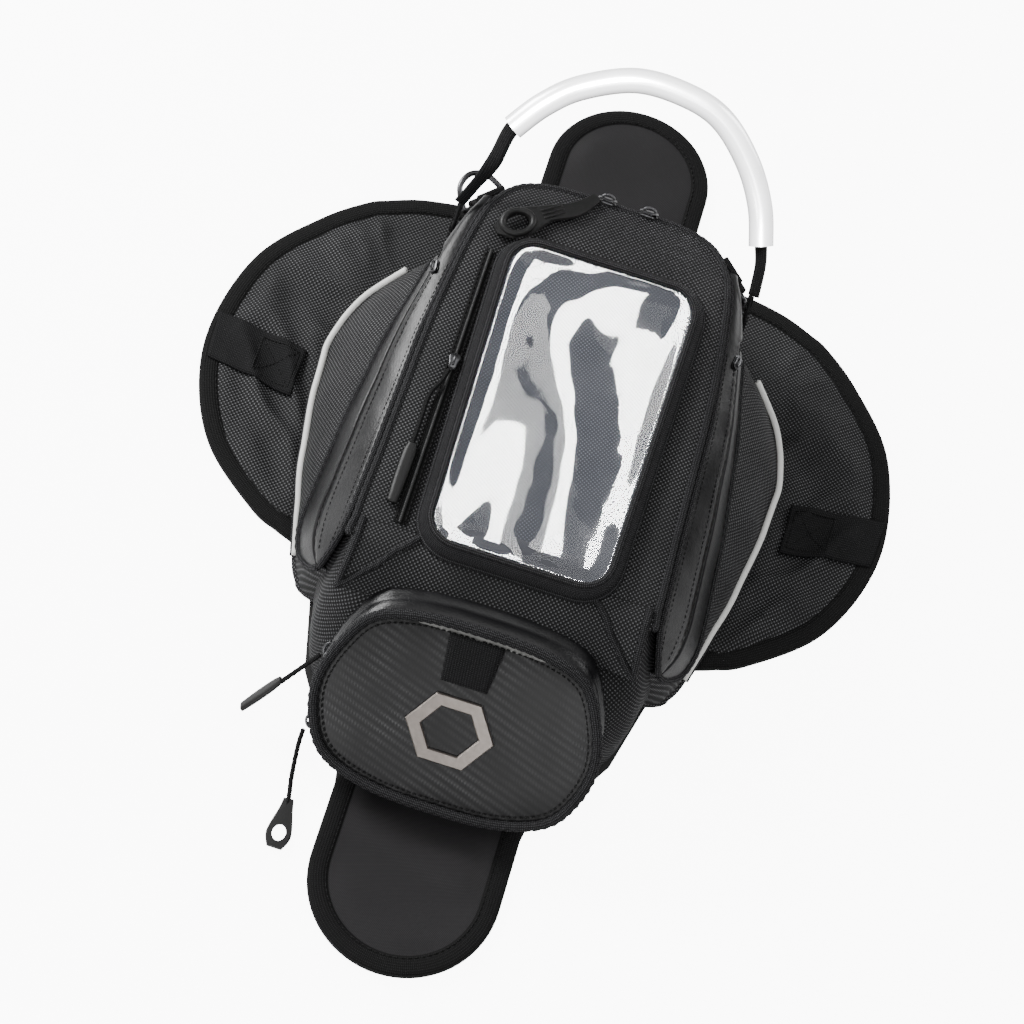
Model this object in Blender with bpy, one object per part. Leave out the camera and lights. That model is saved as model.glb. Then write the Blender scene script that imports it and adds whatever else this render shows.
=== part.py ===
"""Magnetic motorcycle tank bag: main body, window lid, front pocket, side pockets, wings, flaps and handle.

Row frame: +Z up, +Y towards the front of the motorcycle, +X to the right as the rider sees it.
The origin is on the ground plane under the middle of the bag. Lengths below are in millimetres and
MM turns them into metres when a mesh is made.
"""

from math import atan2, cos, hypot, pi, radians, sin

import bmesh
import bpy
from mathutils import Vector

MM = 0.001
GAP = 0.35

# Base sheet, with the roots of the wings and flaps.
SHEET_T = 3.0
WING_FOLD_X = 150.0
FRONT_FOLD_Y = 185.0
REAR_FOLD_Y = -215.0
FOLD_Z = 3.0
FOLD_GAP = 3.0

# Main body: a tub with a sloping rim, and a lid hinged along its near edge.
WALL = 2.2
LID_HINGE = (0.0, -100.0, 82.0)
LID_SLOPE = radians(4.65)
LID_T = 3.0
LID_BEND_FROM = 212.0
LID_BEND_LENGTH = 50.0
LID_BEND_DROP = 9.0
ZIP_T = 2.4
ZIP_W = 9.0

# Phone window on the lid, in lid coordinates (u across, v up the slope from the hinge, w out).
WINDOW_V = (15.0, 210.0)
WINDOW_HALF = (51.5, 55.5)
WINDOW_CORNER = 16.0
WINDOW_SHIFT = 4.0
FRAME_W = 7.0
WINDOW_RISE = 11.0
WINDOW_SHEET_T = 0.8
WINDOW_ZIP_U = -64.0

# Front pocket: its face is tilted, and its back lies against the near wall of the tub.
FACE_CENTRE = (0.0, -168.0, 51.5)
FACE_TILT = atan2(62.5, 83.0)
FACE_T = 3.0
BACK_CENTRE = (0.0, -136.5, 42.5)
BACK_TILT = atan2(75.5, 71.0)
BACK_SCALE = (1.0, 0.93)
FACE_HINGE_V = -50.0
SLIDER_W = -8.3
EMBLEM_R = 26.0
EMBLEM_W = 8.0
EMBLEM_V = -7.0

# Handle: webbing through a tube, swinging on two anchors.
HANDLE_AXIS = (0.0, 130.0, 97.0)
ANCHOR_X = 91.5
TUBE_R = 7.5
TUBE_BORE = 5.8
STRAP_W = 9.8
STRAP_T = 2.4
TUBE_POINTS = [(-74, 162, 141), (-61, 176, 152), (-43, 190, 160), (-13, 202, 167),
               (18, 205, 164), (42, 202, 156), (64, 191, 139), (79, 176, 122), (87, 159, 108)]
LEFT_TAIL = [(-ANCHOR_X, 130, 98), (-87, 136, 106), (-79, 149, 121)]
RIGHT_TAIL = [(90, 149, 104), (91, 139, 101), (ANCHOR_X, 130, 98)]

# D-rings: the middle of the right-hand bar, and how far each ring stands above hanging.
D_RING_PLACE = (79.0, 157.0, 66.0)
D_RING_TILT = {"left": radians(105), "right": radians(12)}
D_RING_WIRE = 1.8

# Front and rear flaps: the distance of both tips from the origin, and the half widths.
FLAP_TIP_Y = 303.5
FRONT_FLAP_HALF = 52.0
REAR_FLAP_HALF = 54.0

# Magnets and the cloth round them.
MAGNET_CUT = 4.0
MAGNET_T = 2.4
CLOTH_T = 1.2

SLOTS = {
    "mesh_fabric": ((0.022, 0.022, 0.025), 0.75, 0.0),
    "coated_leather": ((0.035, 0.035, 0.038), 0.42, 0.0),
    "twill": ((0.030, 0.028, 0.031), 0.8, 0.0),
    "lining": ((0.020, 0.020, 0.022), 0.85, 0.0),
    "binding": ((0.015, 0.015, 0.016), 0.7, 0.0),
    "webbing": ((0.018, 0.018, 0.020), 0.7, 0.0),
    "rope_piping": ((0.020, 0.020, 0.022), 0.6, 0.0),
    "carbon_panel": ((0.045, 0.045, 0.050), 0.35, 0.0),
    "clear_window": ((0.90, 0.92, 0.93), 0.05, 0.0),
    "reflective_piping": ((0.78, 0.78, 0.74), 0.35, 0.0),
    "silver_tube": ((0.80, 0.80, 0.81), 0.3, 0.0),
    "nickel": ((0.42, 0.39, 0.36), 0.25, 1.0),
    "gunmetal": ((0.20, 0.20, 0.21), 0.3, 1.0),
    "zip_coil": ((0.020, 0.020, 0.020), 0.5, 0.0),
    "pull_rubber": ((0.020, 0.020, 0.022), 0.5, 0.0),
    "magnet": ((0.45, 0.45, 0.46), 0.3, 1.0),
    "board": ((0.06, 0.06, 0.06), 0.6, 0.0),
    "base_rubber": ((0.02, 0.02, 0.02), 0.9, 0.0),
}

# Ahead of this station the band is closed, with no side pocket below it.
BAND_JOIN_Y = 110.0

# The long edges of the right-hand side band and pocket, as y: (x, z).
BAND_TOP = {142: (71, 97.0), 130: (76.5, 98.2), 112: (80, 97.0), 80: (84, 94.4), 39: (88, 91), -35: (90, 85),
            -80: (91.5, 80.5), -91: (92.5, 76), -104: (94, 66)}
BAND_LOW = {142: (76, 90), 130: (83, 90), 110: (90, 87), 88: (95, 84), 38: (102, 74),
            -15: (109, 62), -60: (116, 41), -73: (118.5, 31), -90: (114, 28), -104: (105, 32)}
POCKET_EDGE = {95: (96, 83), 91: (108, 66), 84: (123, 50), 68: (135, 38), 50: (141, 32), 15: (139, 28),
               -30: (132, 21), -60: (124, 14), -75: (120, 11), -98: (109, 9)}
POCKET_STATIONS = (95, 92, 89, 85, 80, 74, 67, 58, 47, 32, 15, -3, -20, -38, -55, -70, -84, -97)


def clear_scene():
    for obj in list(bpy.data.objects):
        bpy.data.objects.remove(obj, do_unlink=True)


def material(slot):
    found = bpy.data.materials.get(slot)
    if found:
        return found
    color, roughness, metallic = SLOTS[slot]
    made = bpy.data.materials.new(slot)
    made.use_nodes = True
    shader = made.node_tree.nodes["Principled BSDF"]
    shader.inputs["Base Color"].default_value = (*color, 1.0)
    shader.inputs["Roughness"].default_value = roughness
    shader.inputs["Metallic"].default_value = metallic
    made.diffuse_color = (*color, 1.0)
    return made


def solid(name, slot, points, faces, pivot=(0.0, 0.0, 0.0), smooth=False):
    """One closed mesh object whose origin is at the pivot."""
    mesh = bpy.data.meshes.new(name)
    shift = Vector(pivot)
    mesh.from_pydata([(Vector(p) - shift) * MM for p in points], [], faces)
    shape = bmesh.new()
    shape.from_mesh(mesh)
    bmesh.ops.remove_doubles(shape, verts=shape.verts, dist=1e-6)
    bmesh.ops.recalc_face_normals(shape, faces=shape.faces)
    if shape.calc_volume(signed=True) < 0:
        bmesh.ops.reverse_faces(shape, faces=shape.faces)
    shape.to_mesh(mesh)
    shape.free()
    if smooth:
        mesh.shade_smooth()
        mesh.set_sharp_from_angle(angle=radians(40))
    obj = bpy.data.objects.new(name, mesh)
    obj.location = shift * MM
    obj.data.materials.append(material(slot))
    bpy.context.scene.collection.objects.link(obj)
    return obj


def lofted(rings, closed=False):
    """Points and faces of a skin over rings of equal length; closed joins the last ring to the first."""
    count = len(rings[0])
    points = [p for ring in rings for p in ring]
    faces = []
    spans = len(rings) if closed else len(rings) - 1
    for i in range(spans):
        a = i * count
        b = (i + 1) % len(rings) * count
        for j in range(count):
            k = (j + 1) % count
            faces.append((a + j, a + k, b + k, b + j))
    if not closed:
        faces.append(tuple(range(count)))
        faces.append(tuple(range(len(points) - count, len(points))))
    return points, faces


def loft(name, slot, rings, closed=False, pivot=(0.0, 0.0, 0.0), smooth=False):
    points, faces = lofted(rings, closed=closed)
    return solid(name, slot, points, faces, pivot, smooth)


def curve_through(points, per_span, closed=False):
    """A smooth curve through points of any dimension (Catmull-Rom)."""
    count = len(points)
    spans = count if closed else count - 1
    out = []
    for i in range(spans):
        around = []
        for k in range(i - 1, i + 3):
            around.append(points[k % count] if closed else points[min(max(k, 0), count - 1)])
        for step in range(per_span):
            t = step / per_span
            weights = (-t + 2 * t * t - t ** 3, 2 - 5 * t * t + 3 * t ** 3,
                       t + 4 * t * t - 3 * t ** 3, -t * t + t ** 3)
            out.append(tuple(sum(w * p[axis] for w, p in zip(weights, around)) / 2
                             for axis in range(len(points[0]))))
    if not closed:
        out.append(tuple(points[-1]))
    return out


def mirrored(half):
    """A closed ring from its right half, which starts and ends on the centre line."""
    return list(half) + [(-x, y) for x, y in reversed(half[1:-1])]


def grown(ring, distance):
    """A closed plane ring moved outwards by a distance (inwards if negative)."""
    count = len(ring)
    area = sum(ring[i][0] * ring[(i + 1) % count][1] - ring[(i + 1) % count][0] * ring[i][1]
               for i in range(count))
    turn = 1.0 if area > 0 else -1.0
    out = []
    for i in range(count):
        before = Vector(ring[i]) - Vector(ring[i - 1])
        after = Vector(ring[(i + 1) % count]) - Vector(ring[i])
        n1 = Vector((before.y, -before.x)).normalized()
        n2 = Vector((after.y, -after.x)).normalized()
        mitre = (n1 + n2).normalized()
        stretch = min(1.0 / max(mitre.dot(n1), 0.5), 1.6)
        out.append(tuple(Vector(ring[i]) + mitre * turn * distance * stretch))
    return out


def inset(ring, distance):
    """A closed plane ring moved inwards, without the loops that sharp corners would leave."""
    moved = grown(ring, -distance)
    edges = [(Vector(ring[i - 1]), Vector(ring[i])) for i in range(len(ring))]

    def clearance(point):
        best = 1e9
        for a, b in edges:
            t = min(max((point - a).dot(b - a) / (b - a).length_squared, 0.0), 1.0)
            best = min(best, (point - a.lerp(b, t)).length)
        return best

    return [p for p in moved if clearance(Vector(p)) > distance - 0.08]


def plate(name, slot, outline, low, high, place, pivot=(0.0, 0.0, 0.0)):
    """A flat piece between two heights of a local frame."""
    rings = [[place(x, y, low) for x, y in outline], [place(x, y, high) for x, y in outline]]
    return loft(name, slot, rings, pivot=pivot)


def hoop(name, slot, outer, inner, low, high, place, pivot=(0.0, 0.0, 0.0)):
    """A flat frame between an outer and an inner ring of equal length."""
    rings = [[place(x, y, low) for x, y in outer], [place(x, y, high) for x, y in outer],
             [place(x, y, high) for x, y in inner], [place(x, y, low) for x, y in inner]]
    return loft(name, slot, rings, closed=True, pivot=pivot)


def strip(name, slot, outer, inner, low, high, place, pivot=(0.0, 0.0, 0.0)):
    """A flat ribbon along an open path, given by its two edges."""
    rings = [[place(*a, low), place(*a, high), place(*b, high), place(*b, low)] for a, b in zip(outer, inner)]
    return loft(name, slot, rings, pivot=pivot)


def tube(name, slot, path, radius, sides=8, closed=False, bore=0.0, pivot=(0.0, 0.0, 0.0)):
    """A round bar or hollow tube along a path, with frames carried along so that it doesn't twist."""
    centre = [Vector(p) for p in path]
    count = len(centre)
    tangents = []
    for i in range(count):
        ahead = centre[(i + 1) % count] if closed else centre[min(i + 1, count - 1)]
        behind = centre[i - 1] if closed else centre[max(i - 1, 0)]
        tangents.append((ahead - behind).normalized())
    side = tangents[0].orthogonal().normalized()
    if closed:
        side = Vector((0, 0, 1)).cross(tangents[0])
        if side.length < 0.3:
            side = Vector((0, 1, 0)).cross(tangents[0])
        side.normalize()
    frames = []
    for tangent in tangents:
        side = (side - tangent * side.dot(tangent)).normalized()
        frames.append((side.copy(), tangent.cross(side)))

    def circles(r):
        return [[c + (a * cos(2 * pi * k / sides) + b * sin(2 * pi * k / sides)) * r for k in range(sides)]
                for c, (a, b) in zip(centre, frames)]

    if not bore:
        return loft(name, slot, circles(radius), closed=closed, pivot=pivot, smooth=True)
    outer = circles(radius)
    inner = circles(bore)
    return loft(name, slot, outer + inner[::-1], closed=True, pivot=pivot, smooth=True)


def flat(x, y, z):
    return (x, y, z)


def tilted(centre, angle, swell=None):
    """Places (u, v, w) on a plane that rises by the angle towards +Y."""
    def place(u, v, w):
        w = w - (swell(v) if swell else 0.0)
        return (centre[0] + u, centre[1] + v * cos(angle) - w * sin(angle),
                centre[2] + v * sin(angle) + w * cos(angle))
    return place


def lid_drop(v):
    """How far the far end of the top bends down."""
    over = max(v - LID_BEND_FROM, 0.0) / LID_BEND_LENGTH
    return LID_BEND_DROP * over * over


on_lid = tilted(LID_HINGE, LID_SLOPE, lid_drop)
on_face = tilted(FACE_CENTRE, FACE_TILT)
on_back = tilted(BACK_CENTRE, BACK_TILT)


def along(table, y):
    """The (x, z) of an edge at a station y."""
    keys = sorted(table)
    y = min(max(y, keys[0]), keys[-1])
    for low, high in zip(keys, keys[1:]):
        if y <= high:
            t = (y - low) / (high - low)
            t = t * t * (3 - 2 * t) * 0.3 + t * 0.7
            return tuple(a + (b - a) * t for a, b in zip(table[low], table[high]))
    return table[keys[-1]]


def offset_line(line, distance):
    """An open plane line moved sideways by a distance, with mitred corners."""
    out = []
    for i, point in enumerate(line):
        before = Vector(point) - Vector(line[max(i - 1, 0)])
        after = Vector(line[min(i + 1, len(line) - 1)]) - Vector(point)
        before = before if before.length > 1e-6 else after
        after = after if after.length > 1e-6 else before
        n1 = Vector((before.y, -before.x)).normalized()
        n2 = Vector((after.y, -after.x)).normalized()
        mitre = (n1 + n2).normalized()
        out.append(tuple(Vector(point) + mitre * distance / max(mitre.dot(n1), 0.6)))
    return out


def rim_ring():
    half = [(0, 159), (36, 159), (58, 152), (70, 135), (75, 112), (79, 80), (82, 39), (84, -35),
            (86, -80), (82, -97), (45, -99), (0, -99)]
    return curve_through(mirrored(half), 2, closed=True)


def foot_ring():
    half = [(0, 168), (38, 168), (64, 162), (80, 143), (87, 112), (91, 60), (93, 0), (94, -60),
            (92, -104), (86, -144), (64, -166), (0, -170)]
    return curve_through(mirrored(half), 2, closed=True)


def lid_ring():
    """The lid's outline in lid coordinates."""
    half = [(0, 261.5), (36, 261.5), (59, 254), (72, 236), (77.5, 213), (81.5, 181), (84.5, 140), (86.5, 65),
            (88, 20), (85, 4), (45, 2), (0, 2)]
    return curve_through(mirrored(half), 2, closed=True)


def window_ring(margin):
    """The window's rounded outline in lid coordinates, grown by a margin."""
    near, far = WINDOW_V
    corners = [(WINDOW_HALF[1], far), (WINDOW_HALF[0], near), (-WINDOW_HALF[0], near), (-WINDOW_HALF[1], far)]
    ring = []
    for i, (u, v) in enumerate(corners):
        side_u = 1 if u > 0 else -1
        side_v = 1 if v == far else -1
        centre = Vector((u - side_u * WINDOW_CORNER, v - side_v * WINDOW_CORNER))
        start = pi / 2 - i * pi / 2
        for step in range(5):
            angle = start - step * pi / 8
            point = centre + Vector((cos(angle), sin(angle))) * (WINDOW_CORNER + margin)
            ring.append((point.x + WINDOW_SHIFT, point.y))
    return ring


def face_ring():
    """The front pocket's outline in face coordinates."""
    half = [(0, 50), (36, 48), (60, 40), (73, 20), (79, -2), (75, -23), (63, -40), (36, -49), (0, -51)]
    return curve_through(mirrored(half), 2, closed=True)


def base():
    half = [(0, 182), (52, 182), (62, 183), (80, 190), (93, 191), (120, 186), (140, 178), (147.5, 173),
            (147.5, -58), (134, -66), (119, -73), (106, -90), (92, -146), (80, -166), (58, -187), (54, -212),
            (0, -212)]
    plate("base_sheet", "base_rubber", mirrored(half), 0.0, SHEET_T, flat)


def body():
    rim = rim_ring()
    foot = foot_ring()
    inner_rim = grown(rim, -WALL)
    inner_foot = grown(foot, -WALL)
    rim_w = -ZIP_T - 2 * GAP

    def rim_point(x, y):
        return on_lid(x, (y - LID_HINGE[1]) / cos(LID_SLOPE), rim_w)

    floor = SHEET_T + GAP
    rings = [[(x, y, floor) for x, y in foot], [rim_point(x, y) for x, y in rim],
             [rim_point(x, y) for x, y in inner_rim], [(x, y, floor + WALL) for x, y in inner_foot]]
    loft("body_shell", "mesh_fabric", rings)
    plate("base_board", "board", grown(foot, -WALL - 4.0), floor + WALL + GAP, floor + WALL + GAP + 2.0, flat)
    track = []
    for x, y in rim:
        if y > -88:
            track.append((x, (y - LID_HINGE[1]) / cos(LID_SLOPE)))
    start = max(range(len(track)), key=lambda i: hypot(track[i][0] - track[i - 1][0],
                                                       track[i][1] - track[i - 1][1]))
    track = track[start:] + track[:start]
    edge = []
    for i, point in enumerate(track):
        ahead = Vector(track[min(i + 1, len(track) - 1)]) - Vector(track[max(i - 1, 0)])
        inwards = Vector((ahead.y, -ahead.x)).normalized()
        if inwards.dot(Vector((0, 100)) - Vector(point)) < 0:
            inwards = -inwards
        edge.append(tuple(Vector(point) + inwards * ZIP_W))
    strip("main_zip", "zip_coil", track, edge, rim_w + GAP, rim_w + GAP + ZIP_T, on_lid)


def lid():
    outer = lid_ring()
    hole = match(outer, window_ring(4.0))
    between = [[tuple(Vector(a).lerp(Vector(b), share)) for a, b in zip(outer, hole)]
               for share in (0.0, 0.12, 0.26, 0.45, 1.0)]
    rings = [[on_lid(*p, LID_T) for p in ring] for ring in between]
    rings += [[on_lid(*p, 0.0) for p in ring] for ring in reversed(between)]
    loft("lid_panel", "mesh_fabric", rings, closed=True, pivot=LID_HINGE)
    plate("window_backing", "lining", window_ring(-3.5), 0.6, LID_T - 0.6, on_lid, pivot=LID_HINGE)
    frame = window_ring(FRAME_W)
    pivot = window_pivot()
    hoop("window_frame", "rope_piping", frame, window_ring(0.0), LID_T + GAP, LID_T + WINDOW_RISE, on_lid,
         pivot)
    top = LID_T + WINDOW_RISE - 1.5
    plate("window_sheet", "clear_window", window_ring(-GAP), top, top + WINDOW_SHEET_T, on_lid, pivot)
    bottom, over = WINDOW_V[0] + 8, WINDOW_V[1] - 8
    strip("window_zip", "zip_coil", [(WINDOW_ZIP_U - 2, bottom), (WINDOW_ZIP_U - 2, over)],
          [(WINDOW_ZIP_U + 2, bottom), (WINDOW_ZIP_U + 2, over)], LID_T + GAP, LID_T + GAP + 2.0, on_lid,
          pivot=LID_HINGE)


def match(outer, inner):
    """Points of the inner ring, as many as the outer ring has, each facing its partner."""
    centre = sum((Vector(p) for p in inner), Vector((0.0, 0.0))) / len(inner)
    out = []
    for point in outer:
        direction = Vector(point) - centre
        best = None
        for i in range(len(inner)):
            a = Vector(inner[i]) - centre
            b = Vector(inner[(i + 1) % len(inner)]) - centre
            edge = b - a
            cross = direction.x * edge.y - direction.y * edge.x
            if abs(cross) < 1e-9:
                continue
            t = (a.x * edge.y - a.y * edge.x) / cross
            s = (a.x * direction.y - a.y * direction.x) / cross
            if t > 0 and -1e-6 <= s <= 1 + 1e-6:
                best = centre + direction * t
        out.append(tuple(best))
    return out


def window_pivot():
    u = WINDOW_SHIFT + WINDOW_HALF[1] + FRAME_W
    return on_lid(u, sum(WINDOW_V) / 2, LID_T + GAP)


def slider(name, centre, along_dir, out_dir, length=11.0, width=8.0, height=3.6):
    """A zip slider: a six-sided wedge with a raised bridge, its long side along the zip."""
    forward = Vector(along_dir).normalized()
    out = Vector(out_dir)
    out = (out - forward * out.dot(forward)).normalized()
    side = forward.cross(out)
    middle = Vector(centre)
    outline = [(-0.5, -0.3), (0.25, -0.5), (0.5, -0.28), (0.5, 0.28), (0.25, 0.5), (-0.5, 0.3)]
    rings = []
    for level, scale in ((0.0, 1.0), (0.5, 1.0), (1.0, 0.55)):
        rings.append([middle + forward * a * length * scale + side * b * width * scale + out * level * height
                      for a, b in outline])
    loft(name, "gunmetal", rings, pivot=centre)


def puller(name, slot, path, widths, thickness, out_dir, hole=None, pivot=None):
    """A flat pull along a path, with a width at each point; hole cuts a ring at its far end."""
    points = [Vector(p) for p in path]
    left = []
    right = []
    out = Vector(out_dir).normalized()
    for i, point in enumerate(points):
        ahead = (points[min(i + 1, len(points) - 1)] - points[max(i - 1, 0)]).normalized()
        side = ahead.cross(out).normalized()
        left.append(point + side * widths[i] / 2)
        right.append(point - side * widths[i] / 2)
    lift = out * thickness
    rings = [[a, a + lift, b + lift, b] for a, b in zip(left, right)]
    obj = loft(name, slot, rings, pivot=pivot or path[0])
    if hole:
        middle, radius, stretch = hole
        ahead = (points[-1] - points[-2]).normalized()
        side = ahead.cross(out).normalized()
        rings = []
        for level in (-2.0, thickness + 2.0):
            rings.append([Vector(middle) + out * level + ahead * cos(pi * k / 5) * radius * stretch
                          + side * sin(pi * k / 5) * radius for k in range(10)])
        cutter = loft(name + "_cutter", slot, rings)
        cutter.hide_render = True
        cutter.display_type = "WIRE"
        cut = obj.modifiers.new("ring_hole", "BOOLEAN")
        cut.operation = "DIFFERENCE"
        cut.object = cutter
        cut.solver = "EXACT"
    return obj


def pulls():
    lid_out = (0, -sin(LID_SLOPE), cos(LID_SLOPE))
    lid_along = (0, cos(LID_SLOPE), sin(LID_SLOPE))
    start = on_lid(WINDOW_ZIP_U, 125, LID_T + 2 * GAP + 2.0)
    slider("window_slider", start, lid_along, lid_out)
    route = [(-1, 118, 4.4), (-3, 110, 3.6), (-7, 100, 1.4), (-7.2, 72, 0.6), (-7.4, 64, 0.6),
             (-7.8, 30, 0.6)]
    path = [on_lid(WINDOW_ZIP_U + across, v, LID_T + w) for across, v, w in route]
    puller("window_puller", "pull_rubber", path, (3, 3, 3, 3, 7.5, 7.5), 2.6, lid_out, pivot=path[0])
    for side, name in ((-1, "main_slider_left"), (1, "main_slider_right")):
        slider(name, main_slider_place(side), (1, 0, 0), (0, 0.72, 0.69))
    x, y, z = main_slider_place(-1)
    first = (x - 6.6, y - 1.0, z + 2.6)
    path = [first] + [on_lid(u, v, LID_T + 1.0) for u, v in
                      ((-24, 247), (-38, 238), (-44, 233), (-52, 226), (-60, 219), (-66, 214))]
    hole = (Vector(on_lid(-53.5, 224.6, LID_T + 1.0)), 6.0, 1.35)
    puller("main_puller", "pull_rubber", path, (6, 8, 9, 16, 21, 18, 10), 3.2, lid_out, hole, pivot=first)


def main_slider_place(side):
    x = 5.0 + side * 13.0
    edge = on_lid(x, 261.5, LID_T / 2)
    return (x, edge[1] + 1.2, edge[2] + 0.6)


def pocket():
    ring = face_ring()
    front_w = -FACE_T - ZIP_T - 2 * GAP

    def back_point(u, v, w=0.0):
        return on_back(u * BACK_SCALE[0], v * BACK_SCALE[1], w)

    inner = grown(ring, -WALL)
    rings = [[back_point(u, v) for u, v in ring], [on_face(u, v, front_w) for u, v in ring],
             [on_face(u, v, front_w) for u, v in inner], [back_point(u, v, WALL) for u, v in inner]]
    loft("pocket_shell", "coated_leather", rings)
    count = len(ring)
    lowest = min(range(count), key=lambda i: ring[i][1])
    order = [ring[(lowest + i) % count] for i in range(count)]
    order_in = [inner[(lowest + i) % count] for i in range(count)]
    track = [p for p in order if p[1] > -38]
    track_in = [q for p, q in zip(order, order_in) if p[1] > -38]
    strip("pocket_zip", "zip_coil", track, track_in, front_w + GAP, front_w + GAP + ZIP_T, on_face)
    pivot = on_face(0, FACE_HINGE_V, -FACE_T)
    plate("pocket_face", "carbon_panel", grown(ring, -0.5), -FACE_T, 0.0, on_face, pivot=pivot)
    edge = [on_face(u, v, -0.6) for u, v in grown(ring, 2.7)]
    tube("pocket_piping", "rope_piping", edge, 2.3, 6, closed=True, pivot=pivot)
    plaque = [(-2 + EMBLEM_R * cos(pi * k / 3), EMBLEM_V + EMBLEM_R * 0.86 * sin(pi * k / 3))
              for k in range(6)]
    hoop("emblem", "nickel", plaque, grown(plaque, -EMBLEM_W), GAP, 2.4, on_face, pivot=pivot)
    upper = on_face(-77.5, 14, SLIDER_W)
    slider("pocket_slider_upper", upper, Vector(on_face(-70, 28, 0)) - Vector(on_face(-79, 2, 0)), (-1, 0, 0))
    lower = on_face(-75.5, -27, SLIDER_W)
    ahead = Vector(on_face(-77, -15, 0)) - Vector(on_face(-67, -35, 0))
    slider("pocket_slider_lower", lower, ahead, (-1, 0, 0))
    path = pull_path(upper, (-117, -184, 12), 5.0)
    puller("pocket_puller_upper", "pull_rubber", path, (3, 3, 3, 8, 9, 8), 2.6, (-0.6, 0.5, 0.4),
           pivot=path[0])
    x, y, z = lower
    path = [(x - 5, y - 5, z - 7), (x - 5, y - 12, z - 17), (x - 1, -222, 3.5), (x - 0.5, -229, 1.2),
            (x, -245, 1.2), (x, -254, 1.2)]
    hole = (Vector((x, -245.5, 1.2)), 3.6, 1.3)
    puller("pocket_puller_lower", "pull_rubber", path, (3, 3, 3, 8, 14, 10), 2.6, (0, 0, 1), hole,
           pivot=path[0])


def pull_path(start, end, drop):
    """A pull that leaves its slider sideways and goes down to its end."""
    first = Vector((start[0] - drop, start[1] - 2, start[2] - 3))
    last = Vector(end)
    return [tuple(first.lerp(last, t)) for t in (0.0, 0.2, 0.45, 0.5, 0.75, 1.0)]


def side_section(y, low_share):
    """The upper part of the side band in the XZ plane at a station, from the top edge down."""
    top = Vector(along(BAND_TOP, y))
    low = Vector(along(BAND_LOW, y))
    across = low - top
    out = Vector((-across.y, across.x)).normalized()
    mid = top + across * low_share * 0.5 + out * 1.2
    return [tuple(top), tuple(mid), tuple(top + across * low_share + out * 0.6)]


def stations(first, last, count):
    return [first + (last - first) * i / (count - 1) for i in range(count)]


def side(sign, name):
    def world(section, y):
        return [(sign * x, y, z) for x, z in section]

    rings = []
    for y in stations(141, -103, 19):
        outer = side_section(y, 0.92 if y > BAND_JOIN_Y else 0.42)
        rings.append(world(outer + offset_line(outer, 2.0)[::-1], y))
    loft("side_band_" + name, "coated_leather", rings)
    rings = []
    line = []
    for y in POCKET_STATIONS:
        top = Vector(along(BAND_TOP, y))
        low = Vector(along(BAND_LOW, y))
        edge = Vector(along(POCKET_EDGE, y))
        edge.x = max(edge.x, low.x + 0.8)
        foot = Vector((edge.x + 1.5, SHEET_T + GAP))
        outer = [tuple(top.lerp(low, 0.6)), tuple(low), tuple(edge), tuple(foot)]
        inner = offset_line(outer, 2.0)
        inner[-1] = (inner[-1][0], SHEET_T + GAP)
        rings.append(world(outer + inner[::-1], y))
        ahead = 2.4 * min(max((y - 50.0) / 30.0, 0.0), 1.0)
        line.append((sign * (edge.x + 2.0), y + ahead, edge.y + 2.4))
    pivot = (sign * 142.0, 0.0, SHEET_T + 1.0)
    loft("side_panel_" + name, "mesh_fabric", rings, pivot=pivot)
    tube("side_piping_" + name, "reflective_piping", line[1:-2], 1.5, 6, pivot=pivot)
    coil = []
    for y in stations(98, -96, 16):
        top = Vector(along(BAND_TOP, y))
        low = Vector(along(BAND_LOW, y))
        out = Vector((-(low - top).y, (low - top).x)).normalized()
        point = top.lerp(low, 0.51) + out * 2.8
        coil.append((sign * point.x, y, point.y))
    tube("side_zip_" + name, "zip_coil", coil, 1.2, 6)
    a = Vector(coil[1])
    b = Vector(coil[2])
    slider("side_slider_" + name, a + Vector((sign * 1.0, 0, 1.5)), b - a, (sign * 0.75, 0, 0.66), 10.0, 6.2,
           3.0)


def wing_outline():
    """The moving part of the right wing, outside its fold."""
    inner = WING_FOLD_X + FOLD_GAP
    edge = [(inner, 171), (176, 150), (204, 112), (215.5, 62), (211, 18), (190, -25), (inner, -57)]
    return curve_through(edge, 4)


def magnet(name, corners, low, pivot):
    """A flat magnet plate with cut corners, between the cover and the lining."""
    outline = []
    for i, corner in enumerate(corners):
        for neighbour in (corners[i - 1], corners[(i + 1) % len(corners)]):
            toward = (Vector(neighbour) - Vector(corner)).normalized()
            outline.append(tuple(Vector(corner) + toward * MAGNET_CUT))
    plate(name, "magnet", outline, low, low + MAGNET_T, flat, pivot)


def layered(name, ring, binding, corners, pivot, top_slot):
    """A wing or flap: lining, magnet and cover, framed by its binding tape."""
    lining_top = CLOTH_T
    cover_low = lining_top + MAGNET_T + 2 * GAP
    inner = match(ring, inset(ring, binding))
    field = inset(inner, 2 * GAP)
    hoop(name + "_binding", "binding", ring, inner, 0.0, cover_low + CLOTH_T + 0.6, flat, pivot)
    plate(name + "_lining", "lining", field, 0.0, lining_top, flat, pivot)
    plate(name + "_cover", top_slot, field, cover_low, cover_low + CLOTH_T, flat, pivot)
    magnet(name + "_magnet", corners, lining_top + GAP, pivot)


def wing(sign, name):
    ring = [(sign * x, y) for x, y in wing_outline()]
    corners = [(sign * x, y) for x, y in ((170, -8), (198, 12), (200, 78), (172, 98))]
    pivot = (sign * WING_FOLD_X, 0.0, FOLD_Z)
    layered("wing_" + name, ring, 8.0, corners, pivot, "mesh_fabric")
    patch = [(sign * x, y) for x, y in ((155.5, 20), (210, 31), (211.5, 60), (155.5, 50))]
    top = CLOTH_T * 2 + MAGNET_T + 2 * GAP + 0.6
    plate("wing_webbing_" + name, "webbing", patch, top + GAP, top + GAP + 1.6, flat, pivot)


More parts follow.
